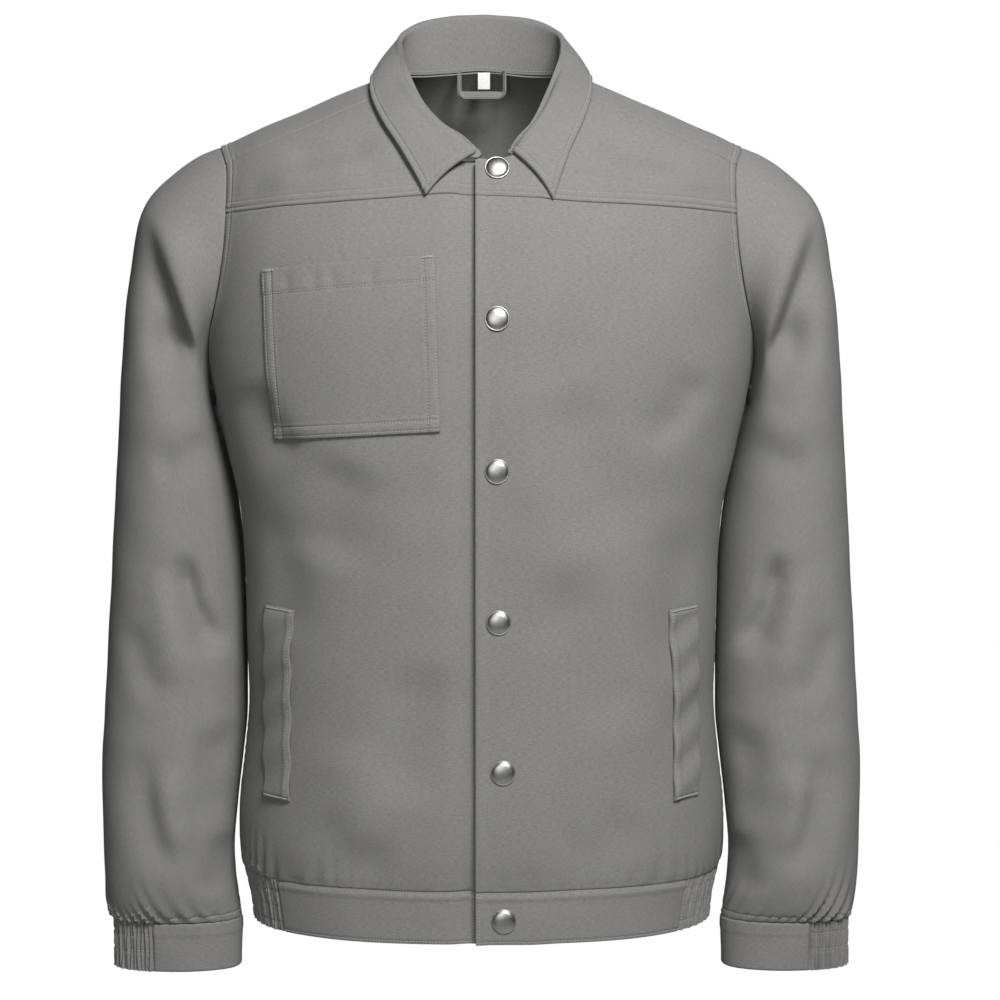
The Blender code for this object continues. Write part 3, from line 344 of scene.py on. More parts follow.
def neck_place(turn):
    """Angle, lift and face of places on the neck oval; turn is 0 at the front, pi behind."""
    x = NECK_HALF_WIDTH * signed(np.sin(turn), NECK_SQUARENESS)
    middle, reach = (NECK_FRONT + NECK_BACK) / 2, (NECK_BACK - NECK_FRONT) / 2
    return seen_from_above(x, middle - reach * signed(np.cos(turn), NECK_SQUARENESS))


def seen_from_above(x, y):
    """Angle, lift and face of the form's place above a point."""
    face = np.where(y < 0, FRONT, BACK)
    angle = angle_at(x, np.full(np.shape(x), CHEST))
    top = BODY_RINGS[0]
    depth = np.where(y < 0, top.front, top.back) * np.cos(angle) ** (2 / ROUNDNESS)
    exponent = arch(x, face)
    rise = (1 - (np.abs(y) / depth) ** exponent) ** (1 / exponent)
    return angle, np.arcsin(rise ** (exponent / 2)), face


def armhole(step, face):
    """Angle and lift of places on the armhole; step is 0 at the shoulder, 1 under the arm."""
    middle = (ARMHOLE[0].height + UNDERARM) / 2
    height = middle + (ARMHOLE[0].height - middle) * np.cos(np.pi * np.asarray(step))
    across = smooth(ARMHOLE, height)[0]
    return angle_at(across, height), lift_at(across, height, face)


def graded(length, coarse=0.0029, fine=0.0008, reach=0.012, start=True, end=True):
    """Shares of a length, close together along its sewn ends."""
    places = [0.0]
    while places[-1] < length:
        near = min(places[-1] if start else 1, max(length - places[-1], 0) if end else 1)
        places.append(places[-1] + fine + (coarse - fine) * float(ease(0.6, 1.8, near / reach)))
    return np.array(places) / places[-1]


def lengths_along(points, axis):
    """Distance run from the first place along one direction of a grid."""
    steps = np.linalg.norm(np.diff(points, axis=axis), axis=-1)
    zero = np.zeros_like(np.take(steps, [0], axis=axis))
    return np.concatenate([zero, np.cumsum(steps, axis=axis)], axis=axis)


def from_borders(points):
    """How far each place of a grid is from its four borders, and how far along each."""
    down, across = lengths_along(points, 0), lengths_along(points, 1)
    return {"top": (down, across), "bottom": (down[-1:] - down, across),
            "near": (across, down), "far": (across[:, -1:] - across, down)}


# A sewn border of a piece: rise is the height of its doubled cloth, width that of the
# allowance, and rows the distances of its stitch lines.
Seam = namedtuple("Seam", "border rise width rows pucker seed",
                  defaults=(0.0, 0.0060, (), 0.0, 0.0))
EDGE_ROLL, EDGE_ROLL_WIDTH = 0.0009, 0.0007
STITCH_DIP, STITCH_DIP_WIDTH = 0.0007, 0.0011


def stitch_dips(gap, rows):
    """How deep stitch lines draw the cloth in, at some distances from a border."""
    return sum(STITCH_DIP * np.exp(-((gap - row) / STITCH_DIP_WIDTH) ** 2) for row in rows)


def sewn_height(points, seams):
    """Height of the sewn borders: doubled, rolled at the edge, drawn in and puckered."""
    borders = from_borders(points)
    height = np.zeros(points.shape[:2])
    for seam in seams:
        gap, along = borders[seam.border]
        height += seam.rise * (1 - ease(seam.width - 0.0015, seam.width + 0.0025, gap))
        height -= EDGE_ROLL * np.exp(-(gap / EDGE_ROLL_WIDTH) ** 2)
        height -= stitch_dips(gap, seam.rows)
        swing = along / 0.0088 + 0.9 * np.sin(along / 0.0145 + seam.seed)
        size = 0.55 + 0.45 * np.sin(along / 0.019 + 2.3 * seam.seed)
        wave = np.sin(2 * np.pi * swing + seam.seed) * size
        fall = np.exp(-((gap - seam.width * 0.62) / (seam.width * 0.75)) ** 2)
        height += seam.pucker * wave * fall
    return height


GATHER_REACH = 0.030


def drawn_in(gap, along, height, seed, spacing=0.0145):
    """Height of the small folds in cloth that an edge draws in, dying out away from it."""
    swing = along / spacing + 0.55 * np.sin(along / 0.017 + seed) + gap * 9 * np.sin(along * 40)
    length = GATHER_REACH * (0.62 + 0.38 * np.sin(along / 0.0135 + 2 * seed))
    size = 0.7 + 0.3 * np.sin(along / 0.031 + 3 * seed)
    wave = np.sin(2 * np.pi * swing) + 0.12 * np.sin(4 * np.pi * swing + seed)
    return height * size * wave * np.exp(-(gap / length) ** 2) * (0.35 + 0.65 * ease(0, 0.004, gap))


def between(near, far, share):
    """A grid of values from one border of a piece to the opposite one."""
    return near[:, None] + (far - near)[:, None] * share


def grid_normals(points, like, around=False):
    """Directions out of a grid as it lies, on the same side as others."""
    if around:
        swing = np.roll(points, -1, axis=1) - np.roll(points, 1, axis=1)
    else:
        swing = np.gradient(points, axis=1)
    normals = unit(np.cross(np.gradient(points, axis=0), swing))
    return normals * np.where((normals * like).sum(-1, keepdims=True) < 0, -1, 1)


def grid_faces(points, normals, first=0, around=False, origin=None):
    """Faces of a grid, turned outwards, and the place of their corners on the flat cloth."""
    rows, columns = points.shape[:2]
    origin = columns // 2 if origin is None else origin
    shown = np.concatenate([points, points[:, :1]], axis=1) if around else points
    across, down = lengths_along(shown, 1), lengths_along(shown, 0)
    row, column = np.meshgrid(np.arange(rows - 1), np.arange(shown.shape[1] - 1), indexing="ij")
    row, column = row.ravel(), column.ravel()
    corner_rows = np.stack([row, row, row + 1, row + 1], -1)
    corner_columns = np.stack([column, column + 1, column + 1, column], -1)
    quads = corner_rows * columns + corner_columns % columns
    spots = np.stack([across - across[:, origin, None], down], -1)
    spots = spots[corner_rows, corner_columns]
    middle = (rows // 2) * columns + columns // 2
    flat = points.reshape(-1, 3)
    facing = np.cross(flat[middle + 1] - flat[middle], flat[middle + columns] - flat[middle])
    if facing @ normals.reshape(-1, 3)[middle] < 0:
        quads, spots = quads[:, ::-1], spots[:, ::-1]
    return quads + first, spots


SHARP_EDGE = math.radians(55)


def shell(name, outer, inner, quads, spots, paint):
    """A closed mesh of an outer and an inner layer, joined round every rim."""
    count = len(outer)
    start, stop = quads.ravel(), np.roll(quads, -1, axis=1).ravel()
    rim = ~np.isin(start * count + stop, stop * count + start)
    start, stop = start[rim], stop[rim]
    spot = spots.reshape(-1, 2)[rim]
    next_spot = np.roll(spots, -1, axis=1).reshape(-1, 2)[rim]
    depth = np.array([0, CLOTH])
    faces = np.concatenate([quads, quads[:, ::-1] + count,
                            np.stack([stop, start, start + count, stop + count], -1)])
    charts = np.concatenate([spots, spots[:, ::-1],
                             np.stack([next_spot, spot, spot + depth, next_spot + depth], 1)])
    mesh = bpy.data.meshes.new(name)
    mesh.vertices.add(2 * count)
    mesh.vertices.foreach_set("co", np.concatenate([outer, inner]).ravel())
    mesh.loops.add(faces.size)
    mesh.loops.foreach_set("vertex_index", faces.ravel().astype(np.int32))
    mesh.polygons.add(len(faces))
    mesh.polygons.foreach_set("loop_start", np.arange(0, faces.size, 4, dtype=np.int32))
    mesh.update(calc_edges=True)
    mesh.uv_layers.new(name="cut").data.foreach_set("uv", charts.ravel().astype(np.float32))
    mesh.validate()
    mesh.shade_smooth()
    mesh.set_sharp_from_angle(angle=SHARP_EDGE)
    mesh.materials.append(paint)
    piece = bpy.data.objects.new(name, mesh)
    bpy.context.scene.collection.objects.link(piece)
    return piece


def layers(points, normals, seams, thickness=CLOTH):
    """Outer and inner places of a piece's cloth, with its seams standing out on the outside."""
    height = sewn_height(points, seams)[..., None]
    return points + normals * height, points - normals * (thickness - 0.5 * height)


def cloth(name, points, normals, paint, seams=(), thickness=CLOTH, around=False):
    """A thin closed shell of cloth under a grid; gives the piece and its outer places."""
    outer, inner = layers(points, normals, seams, thickness)
    quads, spots = grid_faces(points, normals, around=around)
    piece = shell(name, outer.reshape(-1, 3), inner.reshape(-1, 3), quads, spots, paint)
    return piece, outer


def weave_group():
    """Canvas: its threads' height, and how much lighter or darker each place is."""
    group = bpy.data.node_groups.new("canvas_weave", "ShaderNodeTree")
    face = group.interface
    face.new_socket("Cut", in_out="INPUT", socket_type="NodeSocketVector")
    face.new_socket("Threads", in_out="INPUT", socket_type="NodeSocketFloat")
    face.new_socket("Height", in_out="OUTPUT", socket_type="NodeSocketFloat")
    face.new_socket("Tone", in_out="OUTPUT", socket_type="NodeSocketFloat")
    nodes, links = group.nodes, group.links
    source, sink = nodes.new("NodeGroupInput"), nodes.new("NodeGroupOutput")

    def maths(operation, first, second=None, third=None):
        """The result of one sum on sockets or numbers."""
        node = nodes.new("ShaderNodeMath")
        node.operation = operation
        for socket, value in zip(node.inputs, (first, second, third)):
            if isinstance(value, (int, float)):
                socket.default_value = value
            elif value is not None:
                links.new(value, socket)
        return node.outputs[0]

    def noise(scale_u, scale_v, detail, rough):
        """Noise stretched along the two directions of the cut."""
        stretch = nodes.new("ShaderNodeMapping")
        stretch.inputs["Scale"].default_value = (scale_u, scale_v, 1)
        links.new(source.outputs["Cut"], stretch.inputs["Vector"])
        node = nodes.new("ShaderNodeTexNoise")
        node.inputs["Scale"].default_value = 1
        node.inputs["Detail"].default_value = detail
        node.inputs["Roughness"].default_value = rough
        links.new(stretch.outputs["Vector"], node.inputs["Vector"])
        return node.outputs["Fac"]

    parts = nodes.new("ShaderNodeSeparateXYZ")
    links.new(source.outputs["Cut"], parts.inputs[0])
    turn = maths("MULTIPLY", source.outputs["Threads"], 2 * math.pi)
    weft_slub, warp_slub = noise(260, 1500, 2, 0.6), noise(1500, 260, 2, 0.6)
    warp = maths("SINE", maths("MULTIPLY", parts.outputs["X"], turn))
    weft = maths("SINE", maths("MULTIPLY", parts.outputs["Y"], turn))
    crossing = maths("MULTIPLY", warp, weft)
    height = maths("MULTIPLY_ADD", crossing, 0.35, maths("MULTIPLY", weft_slub, 0.9))
    height = maths("MULTIPLY_ADD", warp_slub, 0.6, height)
    links.new(height, sink.inputs["Height"])
    cloudy = noise(22, 26, 4, 0.55)
    tone = maths("MULTIPLY_ADD", maths("SUBTRACT", weft_slub, 0.5), 0.80, 1.0)
    tone = maths("MULTIPLY_ADD", maths("SUBTRACT", warp_slub, 0.5), 0.40, tone)
    tone = maths("MULTIPLY_ADD", maths("SUBTRACT", cloudy, 0.5), 0.10, tone)
    tone = maths("MULTIPLY_ADD", crossing, 0.035, tone)
    links.new(tone, sink.inputs["Tone"])
    return group


weave = weave_group()


def woven(name, colour, threads=1700.0, bump=0.00012):
    """Matt woven cloth with a little bloom at grazing light; threads to the metre."""
    made, nodes, links, shader = new_material(name, {
        "Roughness": 0.88, "Specular IOR Level": 0.22, "Sheen Weight": 0.03,
        "Sheen Roughness": 0.45})
    chart = nodes.new("ShaderNodeUVMap")
    chart.uv_map = "cut"
    threads_of = nodes.new("ShaderNodeGroup")
    threads_of.node_tree = weave
    threads_of.inputs["Threads"].default_value = threads
    links.new(chart.outputs[0], threads_of.inputs["Cut"])
    tint = nodes.new("ShaderNodeVectorMath")
    tint.operation = "SCALE"
    tint.inputs[0].default_value = colour
    links.new(threads_of.outputs["Tone"], tint.inputs["Scale"])
    links.new(tint.outputs[0], shader.inputs["Base Color"])
    raised = nodes.new("ShaderNodeBump")
    raised.inputs["Strength"].default_value = 0.8
    raised.inputs["Distance"].default_value = bump
    links.new(threads_of.outputs["Height"], raised.inputs["Height"])
    links.new(raised.outputs[0], shader.inputs["Normal"])
    return made


canvas = woven("grey_canvas", (0.230, 0.227, 0.221))


def sewing_thread(colour):
    """Spun polyester thread, mottled along its length."""
    made, nodes, links, shader = new_material(
        "sewing_thread", {"Roughness": 0.6, "Specular IOR Level": 0.35})
    place = nodes.new("ShaderNodeTexCoord")
    fuzz = nodes.new("ShaderNodeTexNoise")
    fuzz.inputs["Scale"].default_value = 1400
    fuzz.inputs["Detail"].default_value = 2
    links.new(place.outputs["Object"], fuzz.inputs["Vector"])
    tone = nodes.new("ShaderNodeMath")
    tone.operation = "MULTIPLY_ADD"
    tone.inputs[1].default_value = 0.5
    tone.inputs[2].default_value = 0.75
    links.new(fuzz.outputs["Fac"], tone.inputs[0])
    tint = nodes.new("ShaderNodeVectorMath")
    tint.operation = "SCALE"
    tint.inputs[0].default_value = colour
    links.new(tone.outputs[0], tint.inputs["Scale"])
    links.new(tint.outputs[0], shader.inputs["Base Color"])
    return made


thread = sewing_thread((0.36, 0.355, 0.345))
stitch_rows = []


def row_on(outer, like, border, at, start=0.0, stop=1.0, around=False):
    """A stitch line on a grid, at a distance from one of its borders."""
    normals = grid_normals(outer, like, around)
    if around:
        outer = np.concatenate([outer, outer[:, :1]], axis=1)
        normals = np.concatenate([normals, normals[:, :1]], axis=1)
    if border in ("near", "far"):
        outer, normals = outer.transpose(1, 0, 2), normals.transpose(1, 0, 2)
    if border in ("bottom", "far"):
        outer, normals = outer[::-1], normals[::-1]
    reach = lengths_along(outer, 0)
    high = np.clip((reach < at).sum(axis=0), 1, len(reach) - 1)
    columns = np.arange(outer.shape[1])
    low = high - 1
    share = np.clip((at - reach[low, columns]) / (reach[high, columns] - reach[low, columns]), 0, 1)
    line = outer[low, columns] * (1 - share[:, None]) + outer[high, columns] * share[:, None]
    first, last = (int(round(end * len(line))) for end in (start, stop))
    stitch_rows.append((line[first:last], normals[low, columns][first:last]))


def sew(name, pitch=0.0024, length=0.0017, width=0.00048, height=0.00048):
    """Every stitch of the rows laid so far, as thread that dives into the cloth at both ends."""
    template = [(-0.5, 0, -0.5)]
    template += [(along, side, up) for along in (-0.28, 0.0, 0.28)
                 for side, up in ((1, 0), (0, 1), (-1, 0), (0, -1))]
    template = np.array(template + [(0.5, 0, -0.5)]) * (length, width, height)
    corners = [(0, 1 + (n + 1) % 4, 1 + n) for n in range(4)]
    for ring in (1, 5):
        corners += [(ring + n, ring + (n + 1) % 4, ring + 4 + (n + 1) % 4, ring + 4 + n)
                    for n in range(4)]
    corners += [(13, 9 + n, 9 + (n + 1) % 4) for n in range(4)]
    places, polygons = [], []
    for line, facing in stitch_rows:
        run = np.append(0, np.cumsum(np.linalg.norm(np.diff(line, axis=0), axis=1)))
        number = max(int(run[-1] / pitch), 1)
        middle = (np.arange(number) + 0.5) * run[-1] / number

        def at(values, where):
            """Values between a line's places, at distances along it."""
            return np.stack([np.interp(where, run, values[:, n]) for n in range(3)], -1)

        up = unit(at(facing, middle))
        along = unit(at(line, middle + 0.0008) - at(line, middle - 0.0008))
        axes = np.stack([along, unit(np.cross(up, along)), up], axis=1)
        placed = at(line, middle)[:, None] + np.einsum("vk,nkc->nvc", template, axes)
        for index in range(number):
            base = len(template) * (len(places) + index)
            polygons += [tuple(base + corner for corner in face) for face in corners]
        places += list(placed)
    mesh = bpy.data.meshes.new(name)
    mesh.from_pydata(np.concatenate(places).tolist(), [], polygons)
    mesh.shade_smooth()
    mesh.materials.append(thread)
    piece = bpy.data.objects.new(name, mesh)
    bpy.context.scene.collection.objects.link(piece)
    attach(piece, "root")
    stitch_rows.clear()


# The back's rows run up from the waistband to the underarm, then in steps to the shoulder seam:
# past NECK_STEP its middle border is the neck, past SHOULDER_STEP its outer one is in front.
NECK_STEP, SHOULDER_STEP, SEAM_STEP = 8, 15, 17
BACK_ROW, BACK_COLUMN = 0.0042, 0.0040
BACK_ARM_LENGTH, BACK_HALF_WIDTH = 0.300, 0.290
side_rows = graded(UNDERARM - BAND_TOP, coarse=BACK_ROW, end=False)
arm_rows = SEAM_STEP * graded(BACK_ARM_LENGTH, coarse=BACK_ROW, start=False)[1:]
centre_low = float(lift_at(0.0, UNDERARM, BACK))
centre_high = float(neck_place(np.array([math.pi]))[1][0])
by_neck = arm_rows > NECK_STEP
round_neck = np.clip((arm_rows - NECK_STEP) / (SEAM_STEP - NECK_STEP), 0, 1)
neck_turns = math.pi + (SHOULDER_SEAM_TURN - math.pi) * round_neck
neck_angle, neck_lift, neck_face = neck_place(neck_turns)
neck_lift = np.where(neck_face == BACK, neck_lift, 2 * QUARTER - neck_lift)
centre_lift = centre_low + (centre_high - centre_low) * arm_rows / NECK_STEP
in_front = arm_rows > SHOULDER_STEP
over = armhole(np.interp(arm_rows, (SHOULDER_STEP, 16, SEAM_STEP), (0, 0.1, SHOULDER_SEAM_ARM)),
               FRONT)
behind = armhole(np.interp(arm_rows, (0, 5, SHOULDER_STEP), (1, 0.5, 0)), BACK)
low_lift = lift_at(0.0, BAND_TOP + (UNDERARM - BAND_TOP) * side_rows, BACK)
level = np.zeros(len(side_rows))
inner_angle = np.append(level, np.where(by_neck, neck_angle, 0))
inner_lift = np.append(low_lift, np.where(by_neck, neck_lift, centre_lift))
outer_angle = np.append(level + QUARTER, np.where(in_front, over[0], behind[0]))
outer_lift = np.append(low_lift, np.where(in_front, 2 * QUARTER - over[1], behind[1]))
share = graded(BACK_HALF_WIDTH, coarse=BACK_COLUMN, start=False)
back_angle = between(inner_angle, outer_angle, share)
back_lift = between(inner_lift, outer_lift, share)
split_row = len(side_rows) + int(np.searchsorted(arm_rows, NECK_STEP, side="right")) - 1
WAIST_ELASTIC = (math.radians(54), math.radians(118))
WAIST_GATHERS = 0.0024
ARMHOLE_ROW = 0.0060


def armhole_seam(pucker, seed):
    """The border at the armhole and the side, turned under and sewn down once."""
    return Seam("far", 0.0005, 0.0085, (ARMHOLE_ROW,), pucker, seed)


BACK_SEAMS = (armhole_seam(0.00025, 1.0), Seam("top"), Seam("bottom", pucker=0.0002, seed=3.0))
halves = []
for side, side_name in SIDES:
    points, normals = on_body(side * back_angle, back_lift, BACK, ease(0, SIDE_FADE, 1 - share))
    gap, along = from_borders(points)["top"]
    gathered = 0.25 + 0.75 * ease(math.pi - WAIST_ELASTIC[1] - 0.08,
                                  math.pi - WAIST_ELASTIC[1] + 0.05, back_angle)
    seed = 0.7 + side * ease(0.1, 0.5, back_angle)
    height = drawn_in(gap, along, WAIST_GATHERS, seed) * gathered
    points = points + normals * height[..., None]
    outer, inner = layers(points, normals, BACK_SEAMS)
    row_on(outer, normals, "far", ARMHOLE_ROW)
    quads, spots = grid_faces(points, normals, first=len(halves) * back_angle.size, origin=0)
    halves.append((outer.reshape(-1, 3), inner.reshape(-1, 3), quads, spots * (side, 1)))
columns = back_angle.shape[1]
merged = np.arange(2 * back_angle.size)
shared = np.arange(split_row + 1) * columns
merged[shared + back_angle.size] = shared
quads = merged[np.concatenate([halves[0][2], halves[1][2]])]
kept = np.unique(quads)
renumbered = np.zeros(len(merged), int)
renumbered[kept] = np.arange(len(kept))
outer, inner = (np.concatenate([halves[0][n], halves[1][n]])[kept] for n in (0, 1))
spots = np.concatenate([halves[0][3], halves[1][3]])
back = shell("back_cloth", outer, inner, renumbered[quads], spots, canvas)
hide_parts("back")
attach(back, "root")
sew("back_stitches")

# ------------------------------------------------------------------ front yokes and fronts
# Each front is a canvas piece hanging from a narrow yoke. The yoke seam is felled upwards and
# sewn down twice. The wearer's left front laps over the right one and casts a shadow on it.
YOKE_SEAM_EDGE = -0.098
YOKE_SEAM_ARM = 0.362
EDGE_ACROSS = {LEFT: -0.0045, RIGHT: -0.0340}
LAP, LAP_END, LAP_FLAT = 0.0019, 0.038, 0.060
HEMMED_EDGE, HEMMED_EDGE_WIDTH = 0.0022, 0.011
GIVE, GIVE_X, GIVE_WIDTH = 0.0042, -0.009, 0.010
DOUBLE_ROWS = (0.0030, 0.0082)
YOKE_NECK_STEPS, YOKE_STEPS = 9, 11
YOKE_WIDTH, YOKE_LENGTH = 0.170, 0.112


def lapped(points, normals, side):
    """The left front lies over the right one, whose cloth gives way under its edge."""
    x = points[..., 0]
    if side == LEFT:
        height = LAP * (1 - ease(LAP_END, LAP_FLAT, x))
        from_edge = x - EDGE_ACROSS[LEFT]
        height = height + HEMMED_EDGE * (1 - ease(0, HEMMED_EDGE_WIDTH, from_edge))
    else:
        height = -GIVE * np.exp(-((x - GIVE_X) / GIVE_WIDTH) ** 2)
    return points + normals * height[..., None]


for side, side_name in SIDES:
    across = EDGE_ACROSS[side]
    last_turn = 0.0
    if side == LEFT:
        last_turn = -math.asin((-across / NECK_HALF_WIDTH) ** (1 / NECK_SQUARENESS))
    rows = YOKE_STEPS * graded(YOKE_LENGTH, coarse=0.0026)
    round_neck = np.clip(rows / YOKE_NECK_STEPS, 0, 1)
    down_edge = np.clip((rows - YOKE_NECK_STEPS) / (YOKE_STEPS - YOKE_NECK_STEPS), 0, 1)
    neck = neck_place(SHOULDER_SEAM_TURN + (last_turn - SHOULDER_SEAM_TURN) * round_neck)
    neck_top = on_form(*neck_place(np.array([last_turn])))[0, 2]
    heights = neck_top + (YOKE_SEAM_EDGE - neck_top) * down_edge
    edge_angle = neck[0] + (angle_at(across, heights) - neck[0]) * np.clip(2 * down_edge, 0, 1)
    inner_angle = np.where(down_edge > 0, edge_angle, neck[0])
    inner_lift = np.where(down_edge > 0, lift_at(across, heights, FRONT), neck[1])
    down_arm = SHOULDER_SEAM_ARM + (YOKE_SEAM_ARM - SHOULDER_SEAM_ARM) * rows / YOKE_STEPS
    outer = armhole(down_arm, FRONT)
    share = graded(YOKE_WIDTH, coarse=0.0028)
    angle = between(inner_angle, outer[0], share)
    lift = between(inner_lift, outer[1], share)
    points, normals = on_body(side * angle, lift, FRONT, ease(0, SIDE_FADE, 1 - share))
    points = lapped(points, normals, side)
    seams = (Seam("bottom", 0.0006, 0.0105, DOUBLE_ROWS, 0.00022, 4.0 + side),
             Seam("top", pucker=0.0001, seed=5.0), armhole_seam(0.00022, 6.0 + side),
             Seam("near"))
    yoke, outer = cloth("front_yoke_%s_cloth" % side_name, points, normals, canvas, seams)
    for distance in DOUBLE_ROWS:
        row_on(outer, normals, "bottom", distance)
    row_on(outer, normals, "far", ARMHOLE_ROW)
    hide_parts("front_yoke_" + side_name)
    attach(yoke, "root")

# The armhole's steps on a front run down from the yoke seam to the underarm.
FRONT_ARM_STEPS = (YOKE_SEAM_ARM, 0.45, 0.54, 0.63, 0.72, 0.81, 0.905, 1)
FRONT_WIDTH, FRONT_LENGTH, FRONT_ARM_LENGTH = 0.250, 0.520, 0.147
FRONT_SPACING = 0.0036
for side, side_name in SIDES:
    across = EDGE_ACROSS[side]
    last_arm_row = len(FRONT_ARM_STEPS) - 1
    rows = graded(FRONT_LENGTH, coarse=FRONT_SPACING) * FRONT_LENGTH / FRONT_ARM_LENGTH
    rows = last_arm_row * rows
    on_arm = rows <= last_arm_row
    below = (rows - last_arm_row) / (rows[-1] - last_arm_row)
    heights = np.where(on_arm,
                       YOKE_SEAM_EDGE + (UNDERARM - YOKE_SEAM_EDGE) * rows / last_arm_row,
                       UNDERARM + (BAND_TOP - UNDERARM) * below)
    step = np.interp(rows, range(len(FRONT_ARM_STEPS)), FRONT_ARM_STEPS)
    arm_angle, arm_lift = armhole(step, FRONT)
    inner_angle, inner_lift = angle_at(across, heights), lift_at(across, heights, FRONT)
    outer_angle = np.where(on_arm, arm_angle, QUARTER)
    outer_lift = np.where(on_arm, arm_lift, lift_at(0.0, heights, FRONT))
    share = graded(FRONT_WIDTH, coarse=FRONT_SPACING)
    angle = between(inner_angle, outer_angle, share)
    lift = between(inner_lift, outer_lift, share)
    points, normals = on_body(side * angle, lift, FRONT, ease(0, SIDE_FADE, 1 - share))
    points = lapped(points, normals, side)
    gap, along = from_borders(points)["bottom"]
    gathered = 0.38 + 0.62 * ease(WAIST_ELASTIC[0] - 0.10, WAIST_ELASTIC[0] + 0.06, angle)
    height = drawn_in(gap, along, WAIST_GATHERS, 1.3 * side) * gathered
    points = points + normals * height[..., None]
    seams = (Seam("top", pucker=0.0002, seed=1.5 + side), armhole_seam(0.00025, 2.5 + side),
             Seam("bottom", pucker=0.0002, seed=3.5 + side), Seam("near"))
    front, outer = cloth("front_%s_cloth" % side_name, points, normals, canvas, seams)
    row_on(outer, normals, "far", ARMHOLE_ROW)
    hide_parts("front_" + side_name)
    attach(front, "root")
sew("front_stitches")

# ------------------------------------------------------------------ sleeves
# Each sleeve is a one-piece canvas tube, set into the armhole and gathered into its cuff. It
# hangs with one deep fold from the shoulder to the underarm and slack folds at the elbow.
Section = namedtuple("Section", "number inner_x inner_z outer_x outer_z mid_y half_depth")
SLEEVE_SECTIONS = (
    Section(0, 0.2110, UNDERARM, 0.2070, -0.0491, 0.000, 0.0615),
    Section(1, 0.2120, -0.2490, 0.2250, -0.0570, 0.000, 0.0640),
    Section(2, 0.2128, -0.2530, 0.2440, -0.0705, 0.000, 0.0665),
    Section(3, 0.2120, -0.2575, 0.2640, -0.0910, 0.000, 0.0690),
    Section(4, 0.2105, -0.2630, 0.2745, -0.1200, 0.000, 0.0705),
    Section(5, 0.2084, -0.2700, 0.2805, -0.1600, 0.001, 0.0710),
    Section(6, 0.2060, -0.2800, 0.2840, -0.2000, 0.002, 0.0700),
    Section(7, 0.2025, -0.2940, 0.2870, -0.2430, 0.003, 0.0690),
    Section(8, 0.1983, -0.3120, 0.2895, -0.2850, 0.004, 0.0675),
    Section(9, 0.1940, -0.3370, 0.2920, -0.3250, 0.004, 0.0660),
    Section(10, 0.1912, -0.3640, 0.2940, -0.3600, 0.003, 0.0645),
    Section(11, 0.1895, -0.3950, 0.2955, -0.3950, 0.002, 0.0635),
    Section(12, 0.1885, -0.4300, 0.2975, -0.4300, 0.000, 0.0625),
    Section(13, 0.1877, -0.4650, 0.2990, -0.4650, -0.003, 0.0615),
    Section(14, 0.1876, -0.5000, 0.3005, -0.5000, -0.006, 0.0605),
    Section(15, 0.1910, -0.5350, 0.3020, -0.5350, -0.010, 0.0595),
    Section(16, 0.1946, -0.5700, 0.3010, -0.5700, -0.015, 0.0575),
    Section(17, 0.1970, -0.6000, 0.3000, -0.6000, -0.019, 0.0545),
    Section(18, 0.1958, -0.6250, 0.2985, -0.6250, -0.022, 0.0500),
    Section(19, 0.1930, -0.6450, 0.2960, -0.6450, -0.025, 0.0420),
    Section(20, 0.1905, -0.6585, 0.2915, -0.6585, -0.027, 0.0330),
)
SLEEVE_ROUNDNESS = 2.2
SLEEVE_COLUMNS, SLEEVE_SPACING = 128, 0.0033
CUFF_SEAM_ROW = 0.0058
CUFF_GATHERS, CUFF_GATHER_SPACING = 0.0034, 0.0104
